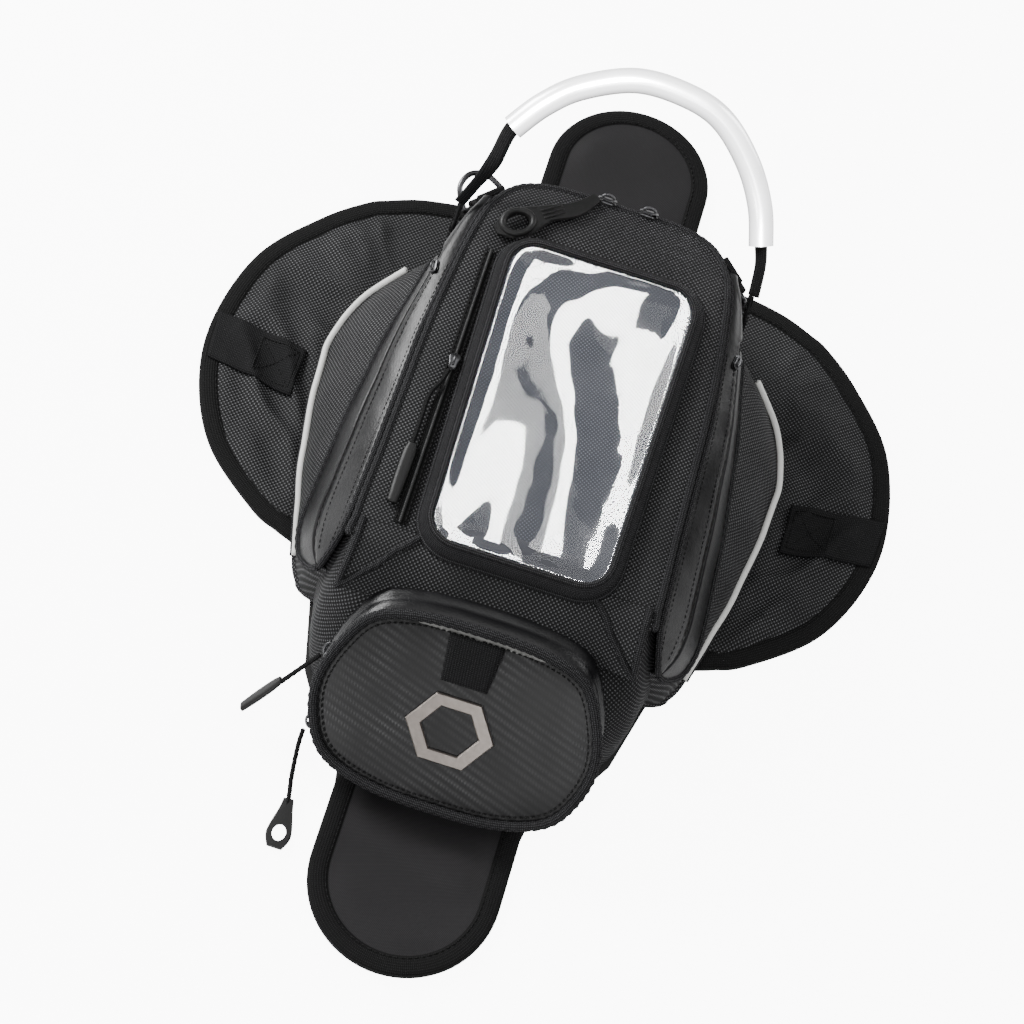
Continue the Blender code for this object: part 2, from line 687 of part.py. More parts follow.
def flap(name, fold_y, tip_y, half, pivot_y):
    toward = 1 if tip_y > fold_y else -1
    centre = tip_y - toward * half
    arc = [(half * cos(pi * k / 12), centre + toward * half * sin(pi * k / 12)) for k in range(13)]
    ring = [(half, fold_y)] + arc + [(-half, fold_y)]
    corners = [(-34, centre - 14), (34, centre - 14), (30, centre + 14), (-30, centre + 14)]
    layered(name, ring, 8.0, corners, (0.0, pivot_y, FOLD_Z), "twill")


def handle():
    path = curve_through(TUBE_POINTS, 2)
    tube("handle_tube", "silver_tube", path, TUBE_R, 14, bore=TUBE_BORE, pivot=HANDLE_AXIS)
    through = curve_through(LEFT_TAIL + TUBE_POINTS + RIGHT_TAIL, 2)
    points = [Vector(p) for p in through]
    rings = []
    for i, point in enumerate(points):
        ahead = (points[min(i + 1, len(points) - 1)] - points[max(i - 1, 0)]).normalized()
        across = ahead.cross(Vector((1, 0, 0)) if 5 > i or i > len(points) - 6 else Vector((0, -0.6, 0.8)))
        across.normalize()
        out = ahead.cross(across)
        rings.append([point + across * a * STRAP_W / 2 + out * b * STRAP_T / 2
                      for a, b in ((1, 1), (1, -1), (-1, -1), (-1, 1))])
    for i in range(1, len(rings)):
        rings[i] = aligned(rings[i - 1], rings[i])
    loft("handle_strap", "webbing", rings, pivot=HANDLE_AXIS)
    for sign, name in ((-1, "left"), (1, "right")):
        x = sign * ANCHOR_X
        outer = [(y, z) for y, z in ((116, 78), (144, 78), (144, 93), (136, 96), (124, 96), (116, 90))]
        rings = [[(x - 1.5, y, z - 8) for y, z in outer], [(x + 1.5, y, z - 8) for y, z in outer]]
        loft("handle_anchor_" + name, "webbing", rings)


def aligned(before, ring):
    """The ring turned round so that its corners follow those of the ring before it."""
    turns = [ring[k:] + ring[:k] for k in range(len(ring))]
    return min(turns, key=lambda turned: sum((a - b).length for a, b in zip(before, turned)))


def d_ring(sign, name):
    """A D-ring in its webbing loop at a far corner."""
    tilt = D_RING_TILT[name]
    corner = Vector((sign * D_RING_PLACE[0], D_RING_PLACE[1], D_RING_PLACE[2]))
    out = Vector((sign * 0.72, 0.69, 0.0))
    bar = Vector((-out.y, out.x, 0.0)) * sign
    reach = out * sin(tilt) - Vector((0, 0, 1)) * cos(tilt)
    ring = []
    for a, b in ((-14, 0), (-13, 8), (-9, 16), (0, 20), (9, 16), (13, 8), (14, 0), (0, 0)):
        ring.append(tuple(corner + bar * a + reach * b))
    path = curve_through(ring, 1, closed=True)
    tube("d_ring_" + name, "gunmetal", path, D_RING_WIRE, 6, closed=True, pivot=tuple(corner))
    outline = [(-5.4, 14), (-3.6, 14), (-3.4, 3.4), (0, 2.6), (2.2, 1.6), (2.6, 0), (2.2, -1.6), (0, -2.6),
               (-3.4, -3.4), (-3.4, -5), (0, -4.6), (3.8, -2.6), (4.6, 0), (3.8, 2.6), (0, 4.6),
               (-1.8, 5.2), (-1.8, 16), (-5.4, 16)]
    rings = []
    for a in (-9.0, 9.0):
        rings.append([tuple(corner + bar * a + out * p + Vector((0, 0, q))) for p, q in outline])
    loft("d_ring_loop_" + name, "webbing", rings)


def main():
    clear_scene()
    base()
    body()
    lid()
    pulls()
    pocket()
    for sign, name in ((-1, "left"), (1, "right")):
        side(sign, name)
        wing(sign, name)
    flap("front_flap", FRONT_FOLD_Y + FOLD_GAP, FLAP_TIP_Y, FRONT_FLAP_HALF, FRONT_FOLD_Y)
    flap("rear_flap", REAR_FOLD_Y - FOLD_GAP, -FLAP_TIP_Y, REAR_FLAP_HALF, REAR_FOLD_Y)
    handle()
    d_ring(-1, "left")
    d_ring(1, "right")


main()
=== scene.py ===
from math import atan2, cos, exp, hypot, log, pi, radians, sin, sqrt

import bmesh
import bpy
from mathutils import Matrix, Vector, noise
from mathutils.bvhtree import BVHTree


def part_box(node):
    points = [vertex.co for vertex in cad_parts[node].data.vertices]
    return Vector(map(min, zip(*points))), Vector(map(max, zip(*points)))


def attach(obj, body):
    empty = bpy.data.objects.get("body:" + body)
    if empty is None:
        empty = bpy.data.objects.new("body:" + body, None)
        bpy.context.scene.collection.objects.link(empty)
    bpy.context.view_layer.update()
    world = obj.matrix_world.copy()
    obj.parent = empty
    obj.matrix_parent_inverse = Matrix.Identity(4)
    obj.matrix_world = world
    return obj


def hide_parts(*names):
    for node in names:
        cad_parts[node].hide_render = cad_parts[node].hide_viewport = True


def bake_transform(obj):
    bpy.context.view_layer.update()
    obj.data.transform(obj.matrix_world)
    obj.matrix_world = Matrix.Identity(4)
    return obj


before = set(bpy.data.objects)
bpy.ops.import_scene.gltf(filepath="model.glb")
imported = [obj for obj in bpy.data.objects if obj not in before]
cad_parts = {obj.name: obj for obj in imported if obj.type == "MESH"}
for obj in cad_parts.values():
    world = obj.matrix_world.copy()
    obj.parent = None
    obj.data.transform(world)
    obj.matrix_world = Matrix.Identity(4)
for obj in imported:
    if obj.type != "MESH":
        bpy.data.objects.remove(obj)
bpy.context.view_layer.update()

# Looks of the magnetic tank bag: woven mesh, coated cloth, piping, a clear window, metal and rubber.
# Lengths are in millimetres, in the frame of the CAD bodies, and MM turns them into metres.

MM = 0.001
UP = Vector((0.0, 0.0, 1.0))

# The lid's plane, and the window on it (u across, v up the slope from the hinge, w out).
LID_HINGE = (0.0, -100.0, 82.0)
LID_SLOPE = radians(4.65)
LID_T = 3.0
LID_BEND_FROM = 212.0
LID_BEND_LENGTH = 50.0
LID_BEND_DROP = 9.0
WINDOW_V = (15.0, 210.0)
WINDOW_HALF = (51.5, 55.5)
WINDOW_CORNER = 16.0
WINDOW_SHIFT = 4.0
WINDOW_ZIP_U = -64.0
PVC_W = 12.9

# The front pocket's face and back planes.
FACE_CENTRE = (0.0, -168.0, 51.5)
FACE_TILT = atan2(62.5, 83.0)
BACK_CENTRE = (0.0, -136.5, 42.5)
BACK_TILT = atan2(75.5, 71.0)
BACK_SCALE = 0.93
GUSSET_FRONT_W = -6.1
EMBLEM_R = 26.0
EMBLEM_WIDTH = 8.0
EMBLEM_U = -2.0
EMBLEM_V = -7.0

# The main zip's two sliders, at the lid's far edge.
MAIN_SLIDERS_X = 5.0
MAIN_SLIDERS_APART = 26.0

# The folds of the wings and flaps, and the cloth's heights there.
WING_FOLD_X = 150.0
FRONT_FOLD_Y = 185.0
REAR_FOLD_Y = -215.0
FLAP_TIP_Y = 303.5
BASE_TOP = 3.15
CLOTH_LOW = 0.15
CLOTH_TOP = 4.9
BINDING_W = 11.0
SEAM_INSET = BINDING_W - 1.7
SEAM_LIFT = 0.75
FOLD_REACH = 4.0
FOLD_Z = 3.0

# The handle's route.
ANCHOR_X = 91.5
TUBE_POINTS = [(-74, 162, 141), (-61, 176, 152), (-43, 190, 160), (-13, 202, 167),
               (18, 205, 164), (42, 202, 156), (64, 191, 139), (79, 176, 122), (87, 159, 108)]
LEFT_TAIL = [(-ANCHOR_X, 130, 98), (-87, 136, 106), (-79, 149, 121), (-74, 162, 141)]
RIGHT_TAIL = [(87, 159, 108), (90, 149, 104), (91, 139, 101), (ANCHOR_X, 130, 98)]
TUBE_R = 7.5
TUBE_BORE = 5.8

D_RING_PLACE = (79.0, 157.0, 66.0)
D_RING_TILT = {"left": radians(105), "right": radians(12)}

# The long edges of the right-hand side band and pocket, as y: (x, z).
BAND_TOP = {142: (71, 97.0), 130: (76.5, 98.2), 112: (80, 97.0), 80: (84, 94.4), 39: (88, 91), -35: (90, 85),
            -80: (91.5, 80.5), -91: (92.5, 76), -104: (94, 66)}
BAND_LOW = {142: (76, 90), 130: (83, 90), 110: (90.5, 86.5), 88: (97, 81.5), 38: (108, 68),
            -15: (115, 55), -60: (119, 37), -73: (120, 29), -90: (115, 26), -104: (105, 31)}
POCKET_EDGE = {95: (96, 83), 91: (108, 66), 84: (123, 50), 68: (135, 38), 50: (141, 32), 15: (139, 28),
               -30: (132, 21), -60: (124, 14), -75: (120, 11), -98: (109, 9)}


# ---------------------------------------------------------------- places on the bag

def curve_through(points, per_span, closed=False):
    """A smooth curve through points of any dimension (Catmull-Rom)."""
    count = len(points)
    spans = count if closed else count - 1
    out = []
    for i in range(spans):
        around = []
        for k in range(i - 1, i + 3):
            around.append(points[k % count] if closed else points[min(max(k, 0), count - 1)])
        for step in range(per_span):
            t = step / per_span
            weights = (-t + 2 * t * t - t ** 3, 2 - 5 * t * t + 3 * t ** 3,
                       t + 4 * t * t - 3 * t ** 3, -t * t + t ** 3)
            out.append(tuple(sum(w * p[axis] for w, p in zip(weights, around)) / 2
                             for axis in range(len(points[0]))))
    if not closed:
        out.append(tuple(points[-1]))
    return out


def mirrored(half):
    return list(half) + [(-x, y) for x, y in reversed(half[1:-1])]


def evenly(points, step, closed=False):
    """Points at an even distance along a line."""
    line = [Vector(p) for p in points]
    if closed:
        line.append(line[0].copy())
    marks = [0.0]
    for a, b in zip(line, line[1:]):
        marks.append(marks[-1] + (b - a).length)
    count = max(2, round(marks[-1] / step))
    out = []
    k = 0
    for i in range(count if closed else count + 1):
        at = marks[-1] * i / count
        while k < len(marks) - 2 and marks[k + 1] < at:
            k += 1
        span = marks[k + 1] - marks[k]
        out.append(line[k].lerp(line[k + 1], (at - marks[k]) / span if span else 0.0))
    return out


def tilted(centre, angle, drop=None):
    """Places (u, v, w) on a plane that rises by the angle towards +Y."""
    def place(u, v, w=0.0):
        w = w - (drop(v) if drop else 0.0)
        return Vector((centre[0] + u, centre[1] + v * cos(angle) - w * sin(angle),
                       centre[2] + v * sin(angle) + w * cos(angle)))
    return place


def lid_drop(v):
    over = max(v - LID_BEND_FROM, 0.0) / LID_BEND_LENGTH
    return LID_BEND_DROP * over * over


on_lid = tilted(LID_HINGE, LID_SLOPE, lid_drop)
on_face = tilted(FACE_CENTRE, FACE_TILT)
on_back = tilted(BACK_CENTRE, BACK_TILT)
LID_OUT = Vector((0, -sin(LID_SLOPE), cos(LID_SLOPE)))
LID_ALONG = Vector((0, cos(LID_SLOPE), sin(LID_SLOPE)))
FACE_OUT = Vector((0, -sin(FACE_TILT), cos(FACE_TILT)))


def along(table, y):
    """The (x, z) of an edge at a station y."""
    keys = sorted(table)
    y = min(max(y, keys[0]), keys[-1])
    for low, high in zip(keys, keys[1:]):
        if y <= high:
            t = (y - low) / (high - low)
            t = t * t * (3 - 2 * t) * 0.3 + t * 0.7
            return Vector(a + (b - a) * t for a, b in zip(table[low], table[high]))
    return Vector(table[keys[-1]])


def smoothed(table, y, reach=7.0):
    """The same edge, rounded off over a reach to each side."""
    places = [along(table, y + reach * k / 3.0) for k in range(-3, 4)]
    return sum(places, Vector((0.0, 0.0))) / len(places)


def ramp(value, low, high):
    t = min(max((value - low) / (high - low), 0.0), 1.0)
    return t * t * (3 - 2 * t)


def slack(lift):
    """The lift of a cloth over the magnet plate under it: any amount up, and never down into it."""
    return log(1 + exp(1.3 * lift)) / 1.3 - 0.2


def swell(x, y, z=0.0, size=30.0):
    """Smooth noise between about -1 and 1, with lumps of a size."""
    return noise.noise(Vector((x, y, z)) / size)


def grown(ring, distance):
    """A closed plane ring moved outwards by a distance."""
    count = len(ring)
    area = sum(ring[i][0] * ring[(i + 1) % count][1] - ring[(i + 1) % count][0] * ring[i][1]
               for i in range(count))
    turn = 1.0 if area > 0 else -1.0
    out = []
    for i in range(count):
        ahead = (Vector(ring[(i + 1) % count]) - Vector(ring[i - 1])).normalized()
        out.append(Vector(ring[i]) + Vector((ahead.y, -ahead.x)) * turn * distance)
    return out


def rim_ring(per_span):
    half = [(0, 159), (36, 159), (58, 152), (70, 135), (75, 112), (79, 80), (82, 39), (84, -35),
            (86, -70), (87, -85), (82, -97), (45, -99), (0, -99)]
    return curve_through(mirrored(half), per_span, closed=True)


def foot_ring(per_span):
    half = [(0, 168), (38, 168), (64, 162), (80, 143), (87, 112), (91, 60), (93, 0), (95, -60),
            (102, -90), (98, -116), (90, -144), (68, -165), (0, -170)]
    return curve_through(mirrored(half), per_span, closed=True)


def lid_ring(per_span):
    half = [(0, 261.5), (36, 261.5), (59, 254), (72, 236), (77.5, 213), (81.5, 181), (84.5, 140), (86.5, 65),
            (88, 20), (85, 4), (45, 2), (0, 2)]
    return curve_through(mirrored(half), per_span, closed=True)


def face_ring(per_span):
    half = [(0, 50), (36, 48), (60, 40), (73, 20), (79, -2), (75, -23), (63, -40), (36, -49), (0, -51)]
    return curve_through(mirrored(half), per_span, closed=True)


def window_ring(margin, steps=10):
    near, far = WINDOW_V
    corners = [(WINDOW_HALF[1], far), (WINDOW_HALF[0], near), (-WINDOW_HALF[0], near), (-WINDOW_HALF[1], far)]
    ring = []
    for i, (u, v) in enumerate(corners):
        outward = Vector((1 if u > 0 else -1, 1 if v == far else -1))
        centre = Vector((u, v)) - outward * WINDOW_CORNER
        for step in range(steps + 1):
            angle = pi / 2 - i * pi / 2 - step * pi / 2 / steps
            point = centre + Vector((cos(angle), sin(angle))) * (WINDOW_CORNER + margin)
            ring.append((point.x + WINDOW_SHIFT, point.y))
    return ring


def match(outer, inner):
    """The point of the inner ring that faces each point of the outer one, seen from its middle."""
    centre = sum((Vector(p) for p in inner), Vector((0.0, 0.0))) / len(inner)
    out = []
    for point in outer:
        direction = Vector(point) - centre
        best = centre
        for i in range(len(inner)):
            a = Vector(inner[i]) - centre
            edge = Vector(inner[(i + 1) % len(inner)]) - centre - a
            cross = direction.x * edge.y - direction.y * edge.x
            if abs(cross) < 1e-9:
                continue
            t = (a.x * edge.y - a.y * edge.x) / cross
            s = (a.x * direction.y - a.y * direction.x) / cross
            if t > 0 and -1e-6 <= s <= 1 + 1e-6:
                best = centre + direction * t
        out.append(best)
    return out


# ---------------------------------------------------------------- materials

class Look:
    """A procedural material, with short calls for the nodes it is made of."""

    def __init__(self, name, metallic=0.0, **plain):
        self.material = bpy.data.materials.new(name)
        self.material.use_nodes = True
        self.tree = self.material.node_tree
        self.shader = self.tree.nodes["Principled BSDF"]
        self.shader.inputs["Metallic"].default_value = metallic
        for label, value in plain.items():
            self.shader.inputs[label.replace("_", " ")].default_value = value
        self.spots = self.tree.nodes.new("ShaderNodeTexCoord")

    def give(self, socket, value):
        if isinstance(value, bpy.types.NodeSocket):
            self.tree.links.new(value, socket)
        else:
            socket.default_value = value

    def math(self, operation, *values):
        node = self.tree.nodes.new("ShaderNodeMath")
        node.operation = operation
        for socket, value in zip(node.inputs, values):
            self.give(socket, value)
        return node.outputs[0]

    def blend(self, share, low, high):
        """A value from low to high by a share from 0 to 1."""
        return self.math("ADD", low, self.math("MULTIPLY", share, high - low))

    def axes(self, angle=0.0, source="UV"):
        """Two distances in millimetres, turned by an angle."""
        parts = self.tree.nodes.new("ShaderNodeSeparateXYZ")
        self.give(parts.inputs[0], self.spots.outputs[source])
        x, y = (self.math("MULTIPLY", parts.outputs[i], 1000.0) for i in (0, 1))
        turned_x = self.math("ADD", self.math("MULTIPLY", x, cos(angle)),
                             self.math("MULTIPLY", y, sin(angle)))
        turned_y = self.math("SUBTRACT", self.math("MULTIPLY", y, cos(angle)),
                             self.math("MULTIPLY", x, sin(angle)))
        return turned_x, turned_y

    def wave(self, distance, pitch):
        """A wave from 0 to 1 along a distance."""
        turned = self.math("SINE", self.math("MULTIPLY", distance, 2 * pi / pitch))
        return self.math("MULTIPLY_ADD", turned, 0.5, 0.5)

    def cloud(self, size, detail=2.0, source="Object"):
        """Noise from 0 to 1 with lumps of a size in millimetres."""
        node = self.tree.nodes.new("ShaderNodeTexNoise")
        node.inputs["Scale"].default_value = 1000.0 / size
        node.inputs["Detail"].default_value = detail
        self.give(node.inputs["Vector"], self.spots.outputs[source])
        return node.outputs["Fac"]

    def color(self, share, dark, light):
        node = self.tree.nodes.new("ShaderNodeMix")
        node.data_type = "RGBA"
        self.give(node.inputs[0], share)
        self.give(node.inputs[6], (*dark, 1.0) if isinstance(dark, tuple) else dark)
        self.give(node.inputs[7], (*light, 1.0) if isinstance(light, tuple) else light)
        return node.outputs[2]

    def done(self, color, roughness, height=None, depth=0.3, strength=1.0):
        """Wires colour, roughness and a height map, whose full depth is in millimetres."""
        self.give(self.shader.inputs["Base Color"], color)
        self.give(self.shader.inputs["Roughness"], roughness)
        if height is not None:
            bump = self.tree.nodes.new("ShaderNodeBump")
            bump.inputs["Strength"].default_value = strength
            bump.inputs["Distance"].default_value = depth * MM
            self.give(bump.inputs["Height"], height)
            self.give(self.shader.inputs["Normal"], bump.outputs[0])
        return self.material


def woven_mesh(name, pitch=2.7, dark=(0.0016, 0.0016, 0.002), light=(0.17, 0.172, 0.18), angle=0.0):
    """Coarse open weave: raised knots on a diagonal grid over dark holes, the knots' light grey colour being
    painted highlight of the threads.
    """
    look = Look(name, Specular_IOR_Level=0.32)
    x, y = look.axes(angle)
    product = look.math("MULTIPLY", look.math("SINE", look.math("MULTIPLY", x, 2 * pi / pitch)),
                        look.math("SINE", look.math("MULTIPLY", y, 2 * pi / pitch)))
    knots = look.math("MULTIPLY_ADD", product, 0.5, 0.5)
    sharp = look.math("POWER", knots, 5.0)
    # Painted highlight: the knots are coloured light grey, stronger in some patches, to stand in for the
    # glint of the threads.
    painted_knot_highlight = look.math("MULTIPLY", sharp, look.blend(look.cloud(38.0, 3.0), 0.35, 1.45))
    color = look.color(look.math("MINIMUM", painted_knot_highlight, 1.0), dark, light)
    return look.done(color, look.blend(sharp, 0.70, 0.38), knots, 0.55)


def twill(name, dark, light, pitch=0.9, angle=radians(55)):
    look = Look(name, Sheen_Weight=0.08, Sheen_Roughness=0.5, Specular_IOR_Level=0.32)
    x, _ = look.axes(angle)
    rib = look.wave(x, pitch)
    share = look.math("MULTIPLY", rib, look.blend(look.cloud(30.0, 4.0), 0.4, 1.3))
    color = look.color(look.math("MINIMUM", share, 1.0), dark, light)
    return look.done(color, look.blend(rib, 0.66, 0.50), rib, 0.12)


def webbing(name, dark, light):
    """Ribs along the strap, crossed by picks."""
    look = Look(name, Specular_IOR_Level=0.2)
    x, y = look.axes()
    cell = look.math("MULTIPLY", look.wave(x, 1.5), look.wave(y, 1.1))
    share = look.math("MULTIPLY", cell, look.blend(look.cloud(16.0), 0.6, 1.2))
    color = look.color(look.math("MINIMUM", share, 1.0), dark, light)
    return look.done(color, look.blend(cell, 0.8, 0.6), cell, 0.35)


def coated(name, dark, light, rough):
    """Coated cloth with fine grain, and a few soft creases."""
    look = Look(name, Specular_IOR_Level=0.38)
    grain = look.cloud(0.9, 3.0)
    creases = look.cloud(14.0, 5.0)
    height = look.math("ADD", look.math("MULTIPLY", grain, 0.30), look.math("MULTIPLY", creases, 0.7))
    color = look.color(look.cloud(25.0, 4.0), dark, light)
    return look.done(color, look.blend(grain, rough - 0.07, rough + 0.1), height, 0.5)


def carbon(name):
    """Embossed twill film: short ribs in rows, lightened in patches by painted glints, with its coat worn
    pale along the top edge.
    """
    look = Look(name, Specular_IOR_Level=0.3, Coat_Weight=0.08, Coat_Roughness=0.3)
    x, y = look.axes(radians(-12))
    ribs = look.wave(look.math("MULTIPLY_ADD", x, 0.9, look.math("MULTIPLY", y, 0.25)), 1.7)
    rows = look.wave(look.math("MULTIPLY_ADD", x, 0.12, y), 4.6)
    # The rib pattern is the film's own; the cloud that lifts its light colour in patches is painted
    # highlight, standing in for glints.
    painted_glint_zone = look.math("MULTIPLY_ADD", look.cloud(42.0), 2.6, -0.85)
    painted_glint_zone = look.math("MINIMUM", look.math("MAXIMUM", painted_glint_zone, 0.12), 1.0)
    cell = look.math("MULTIPLY", look.math("MULTIPLY", rows, look.blend(ribs, 0.45, 1.0)), painted_glint_zone)
    _, height_on_face = look.axes()
    edge = look.math("MULTIPLY", look.math("SUBTRACT", height_on_face, 43.0), 0.4)
    worn = look.math("GREATER_THAN", look.math("ADD", edge, look.cloud(7.0, 6.0)), 1.75)
    plain = look.color(cell, (0.009, 0.009, 0.0095), (0.034, 0.034, 0.036))
    color = look.color(look.math("MULTIPLY", worn, 0.75), plain, (0.30, 0.30, 0.29))
    return look.done(color, look.blend(cell, 0.46, 0.32), cell, 0.30)


def metal(name, color, rough):
    look = Look(name, metallic=1.0)
    grain = look.cloud(2.2, 4.0)
    dark = tuple(c * 0.75 for c in color)
    return look.done(look.color(grain, dark, color),
                     look.blend(grain, rough - 0.06, rough + 0.1), grain, 0.05)


def rubber(name, tone, rough):
    look = Look(name, Specular_IOR_Level=0.35)
    grain = look.cloud(0.8, 2.0)
    return look.done(look.color(look.cloud(12.0), (tone,) * 3, (tone * 1.8,) * 3),
                     look.blend(grain, rough - 0.05, rough + 0.12), grain, 0.12)


def silver(name):
    look = Look(name, metallic=0.6, Coat_Weight=0.5, Coat_Roughness=0.08)
    streaks = look.cloud(20.0, 3.0)
    return look.done(look.color(streaks, (0.80, 0.80, 0.81), (0.92, 0.92, 0.93)),
                     look.blend(streaks, 0.24, 0.34), look.cloud(3.0), 0.03)


def reflective(name):
    look = Look(name, Specular_IOR_Level=0.6)
    x, y = look.axes()
    beads = look.math("MULTIPLY", look.wave(x, 0.8), look.wave(y, 0.8))
    return look.done(look.color(beads, (0.80, 0.80, 0.77), (0.95, 0.95, 0.92)),
                     look.blend(beads, 0.3, 0.42), beads, 0.06)


def clear_film(name):
    """Clear film: thin and glossy, so that its reflections show over the mesh behind it."""
    look = Look(name, Alpha=0.2, IOR=1.62)
    haze = look.cloud(22.0, 3.0)
    return look.done(look.color(haze, (0.016, 0.017, 0.020), (0.030, 0.031, 0.035)),
                     look.blend(haze, 0.035, 0.075), haze, 0.15)


MESH = woven_mesh("woven_mesh_look")
MESH_FINE = woven_mesh("window_mesh_look", 2.4, (0.006, 0.007, 0.011), (0.16, 0.17, 0.21), radians(10))
TWILL = twill("twill_look", (0.0055, 0.005, 0.0058), (0.0145, 0.0134, 0.0152))
BINDING = webbing("binding_look", (0.003, 0.003, 0.003), (0.013, 0.013, 0.0135))
WEBBING = webbing("webbing_look", (0.004, 0.004, 0.0045), (0.022, 0.022, 0.023))
ROPE = webbing("rope_look", (0.004, 0.004, 0.0045), (0.085, 0.085, 0.090))
LEATHER = coated("coated_leather_look", (0.003, 0.003, 0.0034), (0.008, 0.008, 0.009), 0.31)
GUSSET = coated("gusset_look", (0.004, 0.004, 0.0045), (0.010, 0.010, 0.0112), 0.31)
CARBON = carbon("carbon_look")
COIL = rubber("zip_coil_look", 0.006, 0.42)
RUBBER = rubber("pull_rubber_look", 0.007, 0.42)
CORD = webbing("pull_cord_look", (0.003, 0.003, 0.003), (0.018, 0.018, 0.019))
THREAD = webbing("thread_look", (0.005, 0.005, 0.005), (0.030, 0.030, 0.031))
BASE = rubber("base_rubber_look", 0.012, 0.8)
BOARD = rubber("board_look", 0.04, 0.6)
NICKEL = metal("nickel_look", (0.33, 0.295, 0.27), 0.30)
GUNMETAL = metal("gunmetal_look", (0.12, 0.12, 0.125), 0.28)
MAGNET = metal("magnet_look", (0.45, 0.45, 0.46), 0.35)
SILVER = silver("silver_tube_look")
REFLECTIVE = reflective("reflective_look")
FILM = clear_film("clear_window_look")


# ---------------------------------------------------------------- mesh makers

def make(name, points, faces, look, uvs):
    mesh = bpy.data.meshes.new(name)
    mesh.from_pydata([Vector(p) * MM for p in points], [], faces)
    layer = mesh.uv_layers.new(name="UVMap")
    layer.data.foreach_set("uv", [c * MM for uv in uvs for c in uv])
    mesh.materials.append(look)
    mesh.shade_smooth()
    obj = bpy.data.objects.new(name, mesh)
    bpy.context.scene.collection.objects.link(obj)
    return obj


def facing_out(mesh):
    shape = bmesh.new()
    shape.from_mesh(mesh)
    bmesh.ops.recalc_face_normals(shape, faces=shape.faces)
    if shape.calc_volume(signed=True) < 0:
        bmesh.ops.reverse_faces(shape, faces=shape.faces)
    shape.to_mesh(mesh)
    shape.free()


def skin(name, rows, look, closed=False, wrap=False, flat_uv=None, thickness=0.0, sharp=None):
    """A skin through rows of points. closed joins each row's ends, and wrap the last row to the first.

    An open sheet gets a thickness; a closed row that doesn't wrap is capped. The UVs run in millimetres
    along the rows and from row to row, or are those of flat_uv.
    """
    rows = [[Vector(p) for p in row] for row in rows]
    count, width = len(rows), len(rows[0])
    down = [0.0]
    for i in range(count):
        following = rows[(i + 1) % count]
        down.append(down[-1] + sum((a - b).length for a, b in zip(rows[i], following)) / width)
    across = []
    for row in rows:
        marks = [0.0]
        for j in range(width):
            marks.append(marks[-1] + (row[(j + 1) % width] - row[j]).length)
        across.append(marks)
    faces, uvs = [], []
    for i in range(count if wrap else count - 1):
        k = (i + 1) % count
        for j in range(width if closed else width - 1):
            m = (j + 1) % width
            faces.append((i * width + j, i * width + m, k * width + m, k * width + j))
            if flat_uv:
                n = j + 1 if len(flat_uv[i]) > width else m
                uvs += [flat_uv[i][j], flat_uv[i][n], flat_uv[k][n], flat_uv[k][j]]
            else:
                uvs += [(across[i][j], down[i]), (across[i][j + 1], down[i]),
                        (across[k][j + 1], down[i + 1]), (across[k][j], down[i + 1])]
    if closed and not wrap:
        for end in (0, count - 1):
            faces.append(tuple(range(end * width, end * width + width)))
            uvs += [(p.x, p.y) for p in rows[end]]
    obj = make(name, [p for row in rows for p in row], faces, look, uvs)
    if thickness:
        wall = obj.modifiers.new("thickness", "SOLIDIFY")
        wall.thickness = thickness * MM
        wall.offset = 0.0
        apply(obj)
    facing_out(obj.data)
    if sharp:
        obj.data.set_sharp_from_angle(angle=radians(sharp))
    return obj


def apply(obj):
    """Turns an object's modifiers into its mesh."""
    bpy.context.view_layer.update()
    made = bpy.data.meshes.new_from_object(obj.evaluated_get(bpy.context.evaluated_depsgraph_get()))
    made.name = obj.name
    obj.modifiers.clear()
    obj.data = made


def frames_along(centre, closed=False):
    """Two directions across a line at each of its points, carried along without twist."""
    count = len(centre)
    tangents = []
    for i in range(count):
        ahead = centre[(i + 1) % count] if closed else centre[min(i + 1, count - 1)]
        behind = centre[i - 1] if closed else centre[max(i - 1, 0)]
        tangents.append((ahead - behind).normalized())
    side = tangents[0].orthogonal().normalized()
    out = []
    for tangent in tangents:
        side = (side - tangent * side.dot(tangent)).normalized()
        out.append((side.copy(), tangent.cross(side)))
    return out


def tube(name, path, radius, look, closed=False, sides=10, step=1.5,
         strands=0, pitch=7.0, depth=0.14, beads=0.0):
    """A round bar along a path. strands twist round it like a rope's, and beads are rings along it."""
    centre = evenly(path, step, closed)
    rows = []
    for i, (point, (a, b)) in enumerate(zip(centre, frames_along(centre, closed))):
        row = []
        for k in range(sides):
            angle = 2 * pi * k / sides
            r = radius
            if strands:
                r *= 1 - depth + depth * abs(cos(strands * angle / 2 + pi * i * step / pitch)) * 1.4
            if beads:
                r *= 0.78 + 0.22 * abs(sin(pi * i * step / beads))
            row.append(point + (a * cos(angle) + b * sin(angle)) * r)
        rows.append(row)
    return skin(name, rows, look, closed=True, wrap=closed)


def rope(name, path, radius, closed=False):
    return tube(name, path, radius, ROPE, closed, sides=12, step=0.8, strands=4, pitch=5.2, depth=0.26)


def coil(name, path, radius=1.35):
    return tube(name, path, radius, COIL, sides=8, step=0.4, beads=1.5)


